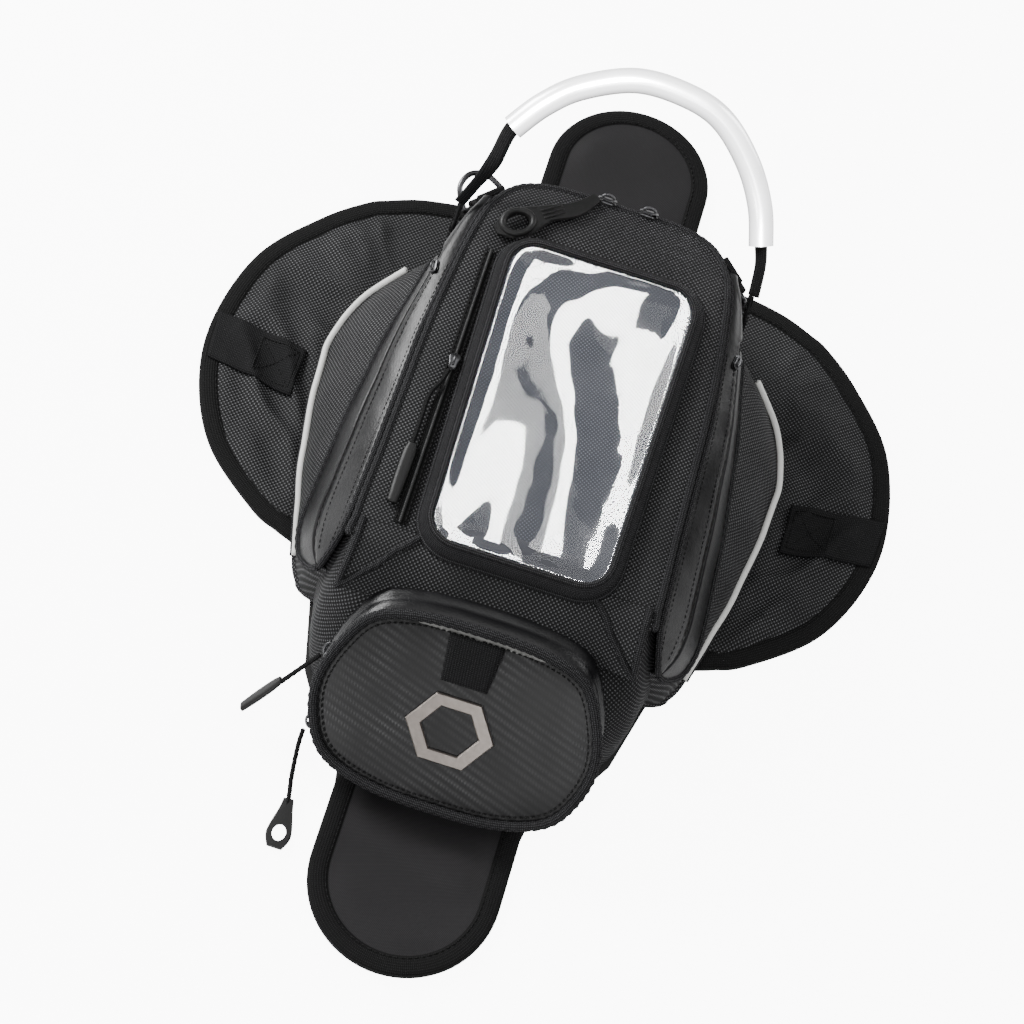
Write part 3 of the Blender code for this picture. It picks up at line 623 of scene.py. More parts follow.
def bars(name, places, look, length, width, height):
    """Many short raised bars in one mesh, such as stitches: each place is (point, along, out)."""
    points, faces, uvs = [], [], []
    for point, ahead, out in places:
        side = ahead.cross(out).normalized()
        start = len(points)
        for share, wide, high in ((-0.5, 0.5, 0.0), (-0.25, 1.0, 1.0), (0.25, 1.0, 1.0), (0.5, 0.5, 0.0)):
            for across, up in ((-0.5, -0.6), (-0.5, 0.2), (0.0, 1.0), (0.5, 0.2), (0.5, -0.6)):
                lift = up * height * (0.35 + 0.65 * high)
                points.append(point + ahead * share * length + side * across * width * wide + out * lift)
        for i in range(3):
            ring = start + 5 * i
            for j in range(5):
                k = (j + 1) % 5
                faces.append((ring + j, ring + k, ring + 5 + k, ring + 5 + j))
        faces.append(tuple(start + j for j in range(5)))
        faces.append(tuple(start + 15 + j for j in range(5)))
    for face in faces:
        uvs += [(points[v].x, points[v].y) for v in face]
    obj = make(name, points, faces, look, uvs)
    facing_out(obj.data)
    return obj


def stitched(name, path, out, body, closed=False, pitch=4.0, look=THREAD):
    """A line of stitches along a path; out is a direction, or one for each place on the path."""
    centre = evenly(path, pitch, closed)
    places = []
    for a, b in zip(centre, centre[1:]):
        ahead = (b - a).normalized()
        up = out(a) if callable(out) else out
        up = (up - ahead * up.dot(ahead)).normalized()
        places.append(((a + b) / 2, ahead, up))
    obj = bars(name, places, look, pitch * 0.72, 0.75, 0.5)
    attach(obj, body)
    return obj


def top_of(obj):
    """A height finder: the highest z of an object at a spot, in millimetres."""
    tree = BVHTree.FromPolygons([v.co for v in obj.data.vertices],
                                [tuple(p.vertices) for p in obj.data.polygons])

    def height(x, y):
        hit = tree.ray_cast(Vector((x * MM, y * MM, 0.4)), -UP)[0]
        return hit.z / MM if hit else CLOTH_TOP
    return height


def placed(obj, body, slot, *nodes):
    """Rides on a body and stands for CAD nodes; slot is not used."""
    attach(obj, body)
    if nodes:
        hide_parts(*nodes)
    return obj


def bent(obj, bodies, fold, slot, *nodes):
    """Bakes the object's transform in place and stands for CAD nodes; it is not bent over the fold, and
    bodies and slot are not used.
    """
    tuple(fold[0])
    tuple(fold[1])
    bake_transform(obj)
    if nodes:
        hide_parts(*nodes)
    return obj


def from_gap(line):
    """What is left of a ring, as an open line that starts after its longest gap."""
    start = max(range(len(line)), key=lambda i: (Vector(line[i]) - Vector(line[i - 1])).length)
    return line[start:] + line[:start]


# ---------------------------------------------------------------- wings and flaps

def extension_mesh(name, edge, inner, top, bottom, look, steps):
    """A closed cloth from its outline in to a line, with a height map for its top and its underside."""
    rows, uv_rows = [], []
    for a, b in zip(edge, inner):
        a, b = Vector(a), Vector(b)
        spots = [a.lerp(b, k / steps) for k in range(steps + 1)]
        upper = [(p.x, p.y, top(p, (p - a).length)) for p in spots]
        lower = [(p.x, p.y, bottom(p)) for p in reversed(spots)]
        rows.append(upper + lower)
        uv_rows.append([(p[0], p[1]) for p in upper + lower])
    return skin(name, rows, look, closed=True, flat_uv=uv_rows, sharp=50)


def toward_middle(point):
    """Towards the middle of the bag, or of the flap that a point is on."""
    if abs(point[0]) < 60 and abs(point[1]) > 170:
        return Vector((0.0, 250.0 if point[1] > 0 else -250.0)) - Vector(point)
    return Vector((100.0 if point[0] > 0 else -100.0, 50.0)) - Vector(point)


def inward_at(edge, i):
    """The direction across an outline at one of its points, towards the middle."""
    ahead = (Vector(edge[min(i + 1, len(edge) - 1)]) - Vector(edge[max(i - 1, 0)])).normalized()
    inward = Vector((-ahead.y, ahead.x))
    return -inward if inward.dot(toward_middle(edge[i])) < 0 else inward


def binding_mesh(name, edge, top):
    """A tape folded over an outline: half on the top, half underneath."""
    rows = []
    for i, point in enumerate(edge):
        inward = inward_at(edge, i)
        ripple = 0.25 * swell(point[0], point[1], 3.0, 5.0)
        section = ((BINDING_W, -0.3), (BINDING_W - 0.6, 0.55), (BINDING_W * 0.5, 0.7 + ripple), (2.0, 0.6),
                   (-0.2, 0.1), (-0.9, -1.5))
        row = []
        for inset, lift in section:
            p = Vector(point) + inward * inset
            row.append((p.x, p.y, top(p, max(inset, 0.0)) + lift))
        for inset, z in ((-0.9, 1.3), (0.0, 0.1), (9.0, 0.05)):
            row.append((point[0] + inward.x * inset, point[1] + inward.y * inset, z))
        rows.append(row)
    return skin(name, rows, BINDING, closed=True)


def binding_seam(name, line, bodies, fold):
    """The stitches that hold a binding down."""
    centre = evenly(line, 3.8)
    places = [((a + b) / 2, (b - a).normalized(), UP) for a, b in zip(centre, centre[1:])]
    bent(bars(name, places, THREAD, 2.8, 0.7, 0.45), bodies, fold, "binding")


def wing(sign, name):
    outline = [(62, 183), (80, 190), (93, 191), (120, 186), (140, 178), (153, 171), (176, 150), (204, 112),
               (215.5, 62), (211, 18), (190, -25), (153, -57), (134, -66), (119, -73), (106, -90)]
    roots = [(58, 160), (74, 146), (82, 130), (86, 110), (88, 90), (89, 70), (90, 50), (91, 30), (92, 10),
             (92, -8), (92, -26), (92, -44), (92, -60), (92, -74), (91, -88)]
    edge = [(sign * x, y) for x, y in curve_through(outline, 9)]
    inner = [(sign * x, y) for x, y in curve_through(roots, 9)]

    def top(p, inset):
        x = abs(p.x)
        folds = swell(x * 0.55 + p.y * 0.5, x * 1.3 - p.y * 1.1, 7.0 * sign, 40.0)
        folds = 1 - abs(folds) * 3.2
        ripple = swell(x, p.y, 11.0 * sign, 17.0)
        freedom = ramp(inset, 8.0, 26.0) * ramp(x, 112.0, 150.0)
        return CLOTH_TOP + freedom * slack(1.2 + 4.4 * folds + 1.2 * ripple)

    def bottom(p):
        return BASE_TOP + (CLOTH_LOW - BASE_TOP) * ramp(abs(p.x), 146.5, 150.5)

    bodies = ("bag", "wing_" + name)
    fold = [(sign * (WING_FOLD_X + reach) * MM, 0.0, FOLD_Z * MM) for reach in (-FOLD_REACH, FOLD_REACH)]
    cover = extension_mesh("wing_cover_" + name, edge, inner, top, bottom, MESH, 34)
    bent(cover, bodies, fold, "mesh_fabric", "wing_%s_cover" % name, "wing_%s_lining" % name)
    tape = binding_mesh("wing_binding_" + name, edge, top)
    bent(tape, bodies, fold, "binding", "wing_%s_binding" % name)
    line = []
    for i in range(1, len(edge) - 1):
        spot = Vector(edge[i]) + inward_at(edge, i) * SEAM_INSET
        line.append((spot.x, spot.y, top(spot, SEAM_INSET) + SEAM_LIFT))
    binding_seam("wing_seam_" + name, line, bodies, fold)
    patch(sign, name, top_of(cover))


def patch(sign, name, height):
    """The webbing patch on a wing, with its box of stitches."""
    corners = [Vector((sign * x, y)) for x, y in ((155, 20), (211, 30), (214, 63), (155, 53))]

    def spot(across, up, lift):
        p = corners[0].lerp(corners[1], across).lerp(corners[3].lerp(corners[2], across), up)
        around = [height(p.x + dx, p.y + dy) for dx in (-4, 0, 4) for dy in (-4, 0, 4)]
        return Vector((p.x, p.y, max(height(p.x, p.y), sum(around) / 9) + lift))

    rows = [[spot(i / 30, j / 14, 1.0) for j in range(15)] for i in range(31)]
    cloth = skin("wing_patch_" + name, rows, WEBBING, thickness=1.4)
    placed(cloth, "wing_" + name, "webbing", "wing_webbing_" + name)
    box = ((0.06, 0.12), (0.48, 0.12), (0.48, 0.88), (0.06, 0.88))
    route = (box[0], box[1], box[2], box[3], box[0], box[2], box[3], box[1])
    places = []
    for a, b in zip(route, route[1:]):
        count = 10 if abs(a[0] - b[0]) < 0.1 or abs(a[1] - b[1]) < 0.1 else 12
        for k in range(count):
            one = spot(a[0] + (b[0] - a[0]) * k / count, a[1] + (b[1] - a[1]) * k / count, 1.75)
            two = spot(a[0] + (b[0] - a[0]) * (k + 1) / count, a[1] + (b[1] - a[1]) * (k + 1) / count, 1.75)
            places.append(((one + two) / 2, (two - one).normalized(), UP))
    placed(bars("wing_patch_stitches_" + name, places, THREAD, 2.2, 0.7, 0.5), "wing_" + name, "webbing")


def flap(name, fold_y, half, start_y):
    """A rounded flap of twill with a bound edge; waves cross the one that is bent by the pocket."""
    toward = 1 if fold_y > 0 else -1
    tip = toward * FLAP_TIP_Y
    centre = tip - toward * half
    arc = [(half * cos(pi * k / 36), centre + toward * half * sin(pi * k / 36)) for k in range(37)]
    sides = [start_y + (centre - start_y) * k / 12 for k in range(12)]
    edge = [(half, y) for y in sides] + arc + [(-half, y) for y in reversed(sides)]

    def top(p, inset):
        waves = sin((p.y + p.x * 0.25) / 9.5 + swell(p.x, p.y, 2.0, 50.0)) * (2.3 if toward < 0 else 0.5)
        soft = swell(p.x, p.y, 5.0 * toward, 40.0) * 1.8
        return CLOTH_TOP + ramp(inset, 8.0, 24.0) * slack(0.8 + waves + soft)

    def bottom(p):
        return BASE_TOP + (CLOTH_LOW - BASE_TOP) * ramp(toward * p.y, abs(fold_y) - 3.5, abs(fold_y) + 0.5)

    rows, uv_rows = [], []
    for i in range(65):
        turn = pi / 2 * min(max((i - 28) / 36, 0.0), 0.985)
        y = start_y + (centre - start_y) * i / 28 if i <= 28 else centre + toward * half * sin(turn)
        wide = half if i <= 28 else half * cos(turn)
        upper, lower = [], []
        for j in range(37):
            p = Vector((wide * sin(pi / 2 * (j / 18 - 1)), y))
            inset = half - (abs(p.x) if i <= 28 else hypot(p.x, y - centre))
            upper.append((p.x, p.y, top(p, inset)))
            lower.append((p.x, p.y, bottom(p)))
        rows.append(upper + lower[::-1])
        uv_rows.append([(q[0], q[1]) for q in rows[-1]])
    bodies = ("bag", name)
    fold = [(0.0, (fold_y + toward * reach) * MM, FOLD_Z * MM) for reach in (-FOLD_REACH, FOLD_REACH)]
    cover = skin(name + "_cloth", rows, TWILL, closed=True, flat_uv=uv_rows, sharp=50)
    bent(cover, bodies, fold, "twill", name + "_cover", name + "_lining")
    tape = binding_mesh(name + "_tape", edge, top)
    bent(tape, bodies, fold, "binding", name + "_binding")
    line = []
    for point in edge[1:-1]:
        middle = Vector((0.0, point[1] if abs(point[1]) < abs(centre) else centre))
        spot = Vector(point) + (middle - Vector(point)).normalized() * SEAM_INSET
        line.append((spot.x, spot.y, top(spot, SEAM_INSET) + SEAM_LIFT))
    binding_seam(name + "_seam", line, bodies, fold)


def base_sheet():
    """The anti-slip sheet under the bag, with rows of low grip dots."""
    half = [(0, 182), (52, 182), (62, 183), (80, 190), (93, 191), (120, 186), (140, 178), (147.5, 173),
            (147.5, 100), (147.5, 20), (147.5, -58), (134, -66), (119, -73), (106, -90), (92, -146),
            (80, -166), (58, -187), (54, -212), (0, -212)]
    ring = [Vector(p) for p in mirrored(half)]
    rows = []
    for z, shares in ((2.9, (0.01, 0.5, 0.9, 0.985)), (1.7, (1.0,)), (0.5, (0.99, 0.9, 0.5, 0.01))):
        rows += [[(p.x * s, p.y * s, z) for p in ring] for s in shares]
    uv_rows = [[(q[0], q[1]) for q in row] for row in rows]
    sheet = skin("base_grip_sheet", rows, BASE, closed=True, flat_uv=uv_rows, sharp=50)
    placed(sheet, "bag", "base_rubber", "base_sheet")
    places = []
    for i in range(-13, 14):
        for j in range(-19, 17):
            x, y = i * 11.0 + (j % 2) * 5.5, j * 11.0
            if abs(x) < (139 if y > -54 else 84 if y > -150 else 46) and y < 172:
                places.append((Vector((x, y, 0.55)), Vector((0, 1, 0)), -UP))
    placed(bars("base_grip_dots", places, BASE, 5.0, 5.0, 0.5), "bag", "base_rubber")


# ---------------------------------------------------------------- main body and lid

def body():
    """The woven walls, which puff out at the near corners, and the main zip's coil and tape on their rim."""
    rim, foot = rim_ring(6), foot_ring(6)
    levels = 18
    rows = []
    for i in range(levels + 1):
        s = i / levels
        row = []
        for (fx, fy), (rx, ry) in zip(foot, rim):
            low = Vector((fx, fy, 3.5))
            high = on_lid(rx, (ry - LID_HINGE[1]) / cos(LID_SLOPE), -3.3)
            p = low.lerp(high, s)
            out = Vector((fx, fy, 0)).normalized()
            corner = ramp(-fy, 78.0, 100.0) * ramp(abs(fx), 60.0, 84.0)
            puff = 1.4 + 8.0 * corner + (0.8 + 2.2 * corner) * swell(p.x, p.y, p.z, 24.0)
            row.append(p + out * (puff * sin(pi * s) - 0.9))
        rows.append(row)
    placed(tub(rows), "bag", "mesh_fabric", "body_shell")
    track = from_gap([p for p in lid_ring(8) if p[1] > 12])
    line = [on_lid(u * 1.006, v * 1.001, -1.7) for u, v in track]
    placed(coil("main_zip_coil", line, 1.5), "bag", "zip_coil", "main_zip")
    tape = [[on_lid(u * s, v * (1 + (s - 1) * 0.5), -1.9) for s in (0.975, 0.99, 1.004)] for u, v in track]
    placed(skin("main_zip_tape", tape, BINDING, thickness=0.8), "bag", "zip_coil")


def tub(rows):
    """The tub's wall as a closed skin with a floor side and a rim side."""
    inner = []
    for row in rows:
        shrunk = grown([(p.x, p.y) for p in row], -1.6)
        inner.append([Vector((q.x, q.y, p.z)) for q, p in zip(shrunk, row)])
    middle = rows[len(rows) // 2]
    marks = [0.0]
    for a, b in zip(middle, middle[1:] + middle[:1]):
        marks.append(marks[-1] + (b - a).length)
    uv_rows = [[(mark, row[0].z * 1.1) for mark in marks] for row in rows + inner[::-1]]
    return skin("tub", rows + inner[::-1], MESH, closed=True, wrap=True, flat_uv=uv_rows, sharp=60)


def lid():
    """The lid's cloth round the window's hole, with its piping."""
    outer = lid_ring(6)
    hole = match(outer, window_ring(4.0))
    rows, uv_rows = [], []

    def add_ring(share, height):
        ring = [Vector(a).lerp(Vector(b), share) for a, b in zip(outer, hole)]
        rows.append([on_lid(p.x, p.y, height(p)) for p in ring])
        uv_rows.append([(p.x, p.y) for p in ring])

    for share in (k / 12 for k in range(13)):
        crown = LID_T - 0.6 + 1.3 * sin(pi * min(share * 1.1, 1.0))
        ease = 0.6 * sin(pi * share)
        add_ring(share, lambda p: crown + ease * swell(p.x, p.y, 2.0, 22.0))
    for share in (1.0, 0.5, 0.0):
        add_ring(share, lambda p: 0.3)
    cloth = skin("lid_cloth", rows, MESH, closed=True, wrap=True, flat_uv=uv_rows, sharp=50)
    placed(cloth, "lid", "mesh_fabric", "lid_panel")
    line = from_gap([p for p in grown(lid_ring(8), 0.4) if p.y > 6])
    placed(rope("lid_piping", [on_lid(p.x, p.y, 1.7) for p in line], 2.2), "lid", "rope_piping")
    apron()


def apron():
    """The cloth that bends at the lid's hinge, with a corded seam at each shoulder."""
    bodies = ("bag", "lid")
    fold = ((0, -0.106, 0.076), (0, -0.094, 0.085))

    def route(x, lift):
        wide = ramp(abs(x), 60.0, 84.0)
        stops = [on_lid(x, 17, LID_T + 0.4 + lift), on_lid(x, 10, LID_T + 0.9 + lift),
                 on_lid(x, 4 + 1.5 * wide, LID_T + 0.2 + lift),
                 on_back(x * 1.01, 48, 2.6 + 1.2 * wide + lift),
                 on_back(x * 1.02, 40, 2.4 + 2.5 * wide + lift),
                 on_back(x * 1.03, 30, 1.6 + 3.0 * wide + lift)]
        return [Vector(p) for p in curve_through([tuple(p) for p in stops], 6)]

    rows = [route(x, 0.5 * swell(x, 0, 4.0, 16.0)) for x in range(-84, 85, 3)]
    bent(skin("lid_apron", rows, MESH, thickness=1.2), bodies, fold, "mesh_fabric")
    for sign, name in ((-1, "left"), (1, "right")):
        edge = curve_through([tuple(p) for p in route(sign * 84.0, 0.3)[::3]], 6)
        bent(rope("lid_hem_" + name, edge, 2.1), bodies, fold, "rope_piping")
        line = []
        for k in range(15):
            t = k / 14
            down = route(sign * (49 + 36 * t ** 1.2), 1.1)
            line.append(down[round(t * (len(down) - 1))])
        corded = curve_through([tuple(p) for p in line[::2]], 8)
        bent(rope("shoulder_cord_" + name, corded, 1.8), bodies, fold, "rope_piping")


def window_rows(margin, w, across=48, down=84):
    """A grid over the window's rounded rectangle, with its lid coordinates and a share of freedom inside."""
    near, far = WINDOW_V[0] - margin, WINDOW_V[1] + margin
    radius = WINDOW_CORNER + margin
    rows, places = [], []
    for i in range(down + 1):
        v = near + (far - near) * i / down
        half = WINDOW_HALF[0] + (WINDOW_HALF[1] - WINDOW_HALF[0]) * (v - near) / (far - near) + margin
        inside = min(v - near, far - v)
        if inside < radius:
            half -= radius - sqrt(max(radius ** 2 - (radius - inside) ** 2, 0.0))
        row = []
        for j in range(across + 1):
            u = half * (2 * j / across - 1)
            free = ramp(min(inside, half - abs(u)), 0.0, 11.0)
            row.append((u + WINDOW_SHIFT, v, free))
        places.append([(u, v) for u, v, _ in row])
        rows.append([on_lid(u, v, w(u, v, free)) for u, v, free in row])
    return rows, places


def film_height(u, v, free):
    """Long slack folds that run up the film and swing from side to side, with dents near its corners."""
    bend = 15.0 * sin(v / 35.0 + 0.5) + 6.0 * sin(v / 17.0 + 1.0)
    long_folds = sin((u - bend) / 15.5 + 0.4 + 1.5 * swell(u, v * 0.5, 7.0, 50.0))
    lumps = swell(u, v * 0.42, 4.0, 34.0)
    dents = swell(u, v, 9.0, 16.0)
    return PVC_W + free * (2.5 * long_folds + 1.9 * lumps + 0.35 * dents)


def window():
    window_sheets()
    window_border()
    window_zip()


def window_sheets():
    """The clear film, the mesh behind it, and the strip of cloth at the pocket's near end."""
    rows, places = window_rows(0.6, film_height)
    film = skin("window_film", rows, FILM, flat_uv=places, thickness=0.5)
    placed(film, "window_flap", "clear_window", "window_sheet")
    rows, places = window_rows(3.9, lambda u, v, free: 2.3 + 0.5 * swell(u, v, 1.0, 30.0) * free, 40, 60)
    backing = skin("window_backing_mesh", rows, MESH_FINE, flat_uv=places, thickness=0.8)
    placed(backing, "lid", "lining", "window_backing")
    strip = [[on_lid(u, v, 3.4 + 0.3 * swell(u, v, 6.0, 14.0)) for u in range(-36, 47, 3)]
             for v in (19, 22, 26, 30, 33)]
    placed(skin("window_floor_strip", strip, TWILL, thickness=0.7), "lid", "lining")


def window_border():
    """The raised wall round the window, and the piping on its inner and outer edge."""
    section = [(7.2, 3.6), (7.6, 6.0), (7.2, 9.0), (6.2, 11.4), (4.6, 13.2), (2.4, 13.9), (0.4, 13.3),
               (-0.3, 12.6), (0.4, 11.2), (1.6, 8.0), (1.8, 3.6)]
    rings = []
    for margin, w in section:
        ring = evenly([(u, v, 0.0) for u, v in window_ring(margin)], 3.0, closed=True)
        rings.append([on_lid(p.x, p.y, w) for p in resized(ring, 208)])
    gusset = skin("window_gusset", rings, ROPE, closed=True, wrap=True)
    placed(gusset, "window_flap", "rope_piping", "window_frame")
    for name, margin, w in (("inner", 1.6, 13.4), ("outer", 7.3, 5.0)):
        line = [on_lid(u, v, w) for u, v in window_ring(margin)]
        placed(rope("window_piping_" + name, line, 1.9, closed=True), "window_flap", "rope_piping")


def window_zip():
    line = [on_lid(WINDOW_ZIP_U, v, LID_T + 1.6) for v in range(20, 206, 3)]
    placed(coil("window_zip_coil", line, 1.4), "lid", "zip_coil", "window_zip")
    tape = [[on_lid(WINDOW_ZIP_U + u, v, LID_T + 1.0) for u in (-4.0, 0.0, 4.0)] for v in range(20, 206, 6)]
    placed(skin("window_zip_tape", tape, BINDING, thickness=0.8), "lid", "zip_coil")
    for name, across in (("left", -2.9), ("right", 2.9)):
        seam = [on_lid(WINDOW_ZIP_U + across, v, LID_T + 1.5) for v in (22, 204)]
        stitched("window_zip_seam_" + name, seam, LID_OUT, "lid", pitch=3.4)


def resized(ring, count):
    """A closed ring with a set number of points."""
    line = [Vector(p) for p in ring] + [Vector(ring[0])]
    total = sum((b - a).length for a, b in zip(line, line[1:]))
    points = evenly(line[:-1], total / count, closed=True)
    return (points + points[:1] * count)[:count]


# ---------------------------------------------------------------- side bands and side pockets

def band_point(y, share):
    """A point of the side band's domed surface, on the right-hand side."""
    top, low = smoothed(BAND_TOP, y), smoothed(BAND_LOW, y)
    across = low - top
    out = Vector((-across.y, across.x)).normalized()
    near = min(max((-y - 84.0) / 20.0, 0.0), 0.999)
    width = sqrt(1 - near * near)
    share = 0.45 + (share - 0.45) * width
    p = top + across * share + out * (0.6 + 3.8 * sin(pi * min(max(share, 0.0), 1.0)) - 3.5 * (1 - width))
    return Vector((p.x, y, p.y)), Vector((out.x, 0.0, out.y))


def side(sign, name):
    """One side: the band's two strips of coated cloth with the zip between them, piping, seams, pocket."""
    pocket = "side_pocket_" + name

    def flip(p):
        return Vector((sign * p.x, p.y, p.z))

    def strip(ys, low, high_at, pucker):
        rows = []
        for y in ys:
            row = []
            for k in range(9):
                p, out = band_point(y, low + (high_at(y) - low) * k / 8)
                gathers = pucker * sin(y * 1.9 + 2.0 * swell(p.x, y, 0.0, 8.0)) * ramp(k, 4, 8)
                row.append(flip(p + out * (0.35 * swell(p.x, y, p.z, 18.0) + gathers)))
            rows.append(row)
        return rows

    def line_at(ys, share, lift):
        return [flip(p + out * lift) for p, out in (band_point(y, share) for y in ys)]

    stations = [141 - 244 * i / 120 for i in range(121)]
    upper = strip(stations, 0.0, lambda y: 0.495 + 0.475 * ramp(y, 97, 108), 0.18)
    placed(skin("side_band_" + name + "_cloth", upper, LEATHER, thickness=1.5), "bag", "coated_leather",
           "side_band_" + name)
    lower = strip([y for y in stations if y < 95], 0.525, lambda y: 1.0, -0.18)
    placed(skin("side_pocket_band_" + name, lower, LEATHER, thickness=1.5), pocket, "coated_leather")
    zip_line = line_at(range(-99, 98, 3), 0.51, -1.2)
    placed(coil("side_zip_coil_" + name, zip_line, 1.3), "bag", "zip_coil", "side_zip_" + name)
    ends = [-104, -103.5, -102.5, -101, -99, -96, -93, -90]
    edge_line = line_at(ends + list(range(-87, 140, 3)), -0.02, 0.7)
    placed(rope("band_piping_" + name, edge_line, 1.9), "bag", "rope_piping")
    low_line = line_at(ends + list(range(-87, 95, 3)), 1.0, 0.6)
    placed(rope("pocket_seam_piping_" + name, low_line, 2.0), pocket, "rope_piping")
    panel(sign, name, pocket, flip)
    for share, label in ((0.37, "upper"), (0.09, "top")):
        seam = line_at(range(-96, 92, 4), share, 0.7)
        stitched("side_band_seam_%s_%s" % (name, label), seam, Vector((sign * 0.7, 0, 0.7)), "bag", pitch=3.2)


def arcs_down(rows, column):
    """The distance along one column of a grid from its middle row."""
    marks = [0.0]
    for a, b in zip(rows, rows[1:]):
        marks.append(marks[-1] + (b[column] - a[column]).length)
    return [marks[len(rows) // 2] - mark for mark in marks]


def panel(sign, name, pocket, flip):
    """The D-shaped side pocket: slack woven mesh from the band to the piping, and down to the base."""
    rows = []
    piping = []
    ys = [93 - 189 * i / 70 for i in range(71)]
    for y in ys:
        low = smoothed(BAND_LOW, y, 5.0)
        edge = smoothed(POCKET_EDGE, y, 4.0)
        edge.x = max(edge.x, low.x + 0.8)
        low = low + (smoothed(BAND_TOP, y) - low) * 0.5 * ramp(-y, 78.0, 90.0)
        across = edge - low
        out = Vector((-across.y, across.x)).normalized()
        span = ramp(across.length, 4.0, 30.0)
        row = []
        for k in range(17):
            s = k / 16
            p = low + across * s
            bulge = (2.6 + 1.9 * swell(p.x, y * 0.7, 3.0 * sign, 19.0)) * sin(pi * s)
            p = p + out * bulge * span
            row.append(flip(Vector((p.x, y, p.y))))
        for k in range(1, 8):
            s = k / 7
            x = edge.x + 1.5 * s + 1.4 * sin(pi * s)
            row.append(flip(Vector((x, y, edge.y + (5.4 - edge.y) * s))))
        rows.append(row)
        ahead = 2.4 * min(max((y - 50.0) / 30.0, 0.0), 1.0)
        piping.append(flip(Vector((edge.x + 1.4, y + ahead, edge.y + 1.8))))
    last = rows[-1]
    for k in range(1, 7):
        turn = pi / 2 * k / 6
        rows.append([Vector((sign * (abs(p.x) - (abs(p.x) - 91.0) * (1 - cos(turn))),
                             p.y - 9.0 * sin(turn), p.z)) for p in last])
    high, low = (arcs_down(rows, column) for column in (0, 16))
    uv_rows = [[(a + (b - a) * min(k / 16, 1.0), 0.707 * (abs(p.x) - p.z)) for k, p in enumerate(row)]
               for a, b, row in zip(high, low, rows)]
    cloth = skin("side_pocket_cloth_" + name, rows, MESH, flat_uv=uv_rows, thickness=1.4)
    placed(cloth, pocket, "mesh_fabric", "side_panel_" + name)
    line = curve_through([tuple(p) for p in piping[1:-2:4]], 6)
    cord = tube("side_piping_cord_" + name, line, 1.9, REFLECTIVE, sides=14, step=1.2)
    placed(cord, pocket, "reflective_piping", "side_piping_" + name)
    below = [Vector(p) + Vector((sign * 1.6, 0, -2.0)) for p in line]
    placed(rope("side_piping_binding_" + name, below, 1.3), pocket, "rope_piping")


# ---------------------------------------------------------------- front pocket

def front_pocket():
    ring = face_ring(8)
    pocket_gusset(ring)
    pocket_face(ring)
    emblem()


def pocket_gusset(ring):
    """The pocket's puffed wall between its back and its face, with the zip's coil."""
    rows = []
    levels = 18
    for i in range(levels + 1):
        s = i / levels
        row = []
        for u, v in ring:
            back = on_back(u, v * BACK_SCALE, 0.4)
            front = on_face(u, v, GUSSET_FRONT_W + 1.8)
            p = back.lerp(front, s)
            out = Vector((u, v)).normalized()
            gathers = 0.22 * sin(1.5 * (abs(u) + v) + 3.0 * swell(u, v, 1.0, 9.0)) * abs(sin(2 * pi * s))
            puff = 1.5 * sin(pi * s) + 1.1 * abs(sin(2 * pi * s)) + gathers + 0.5 * swell(p.x, p.y, p.z, 16.0)
            row.append(p + (on_face(out.x, out.y) - on_face(0, 0)) * (puff - 0.6))
        rows.append(row)
    inner = [[p + (on_face(0, 0, 0) - on_face(u, v, 0)).normalized() * 1.6 for p, (u, v) in zip(row, ring)]
             for row in rows]
    gusset = skin("front_pocket_gusset", rows + inner[::-1], GUSSET, closed=True, wrap=True, sharp=60)
    placed(gusset, "bag", "coated_leather", "pocket_shell")
    lowest = min(range(len(ring)), key=lambda i: ring[i][1])
    track = [p for p in ring[lowest:] + ring[:lowest] if p[1] > -38]
    line = [on_face(u * 1.03, v * 1.03, -6.6) for u, v in track]
    placed(coil("pocket_zip_coil", line, 1.5), "bag", "zip_coil", "pocket_zip")


def pocket_face(ring):
    """The stiff face with its lining, rope piping, seam and webbing tab."""
    rows, uv_rows = [], []
    for i in range(25):
        s = max(i / 24, 0.01)
        spots = [(u * s * 0.995, v * s * 0.995) for u, v in ring]
        row = []
        for u, v in spots:
            wave = 0.35 * swell(u, v, 1.0, 30.0) * ramp(hypot(u, v), 30, 55)
            row.append(on_face(u, v, 0.15 - 1.7 * s ** 5 + wave))
        rows.append(row)
        uv_rows.append(spots)
    for s in (1.0, 0.5, 0.01):
        spots = [(u * s * 0.99, v * s * 0.99) for u, v in ring]
        rows.append([on_face(u, v, -2.9) for u, v in spots])
        uv_rows.append(spots)
    face = skin("pocket_face_panel", rows, CARBON, closed=True, flat_uv=uv_rows, sharp=50)
    placed(face, "pocket_face", "carbon_panel", "pocket_face")
    rows = [[on_face(u * s, v * s, -3.3) for u, v in ring] for s in (0.985, 0.8, 0.6, 0.4, 0.2, 0.01)]
    rows += [[p - FACE_OUT * 0.5 for p in row] for row in rows[::-1]]
    uv_rows = [[(p.x, p.y * 1.4) for p in row] for row in rows]
    lining = skin("pocket_face_lining", rows, TWILL, closed=True, flat_uv=uv_rows, sharp=50)
    placed(lining, "pocket_face", "lining")
    line = [on_face(p.x, p.y, -0.2) for p in grown(ring, 1.8)]
    placed(rope("pocket_face_piping", line, 2.9, closed=True), "pocket_face", "rope_piping", "pocket_piping")
    seam = [on_face(p.x, p.y, -0.1) for p in grown(ring, -3.2)]
    stitched("pocket_face_seam", seam, FACE_OUT, "pocket_face", closed=True, pitch=3.4)
    tab = []
    for i in range(13):
        half = 16 - 2.5 * i / 12
        lift = 0.1 if i == 0 else 0.9
        tab.append([on_face(EMBLEM_U + half * (j / 4 - 1), 46.5 - 27.0 * i / 12, lift) for j in range(9)])
    placed(skin("pocket_tab", tab, WEBBING, thickness=1.3), "pocket_face", "webbing")


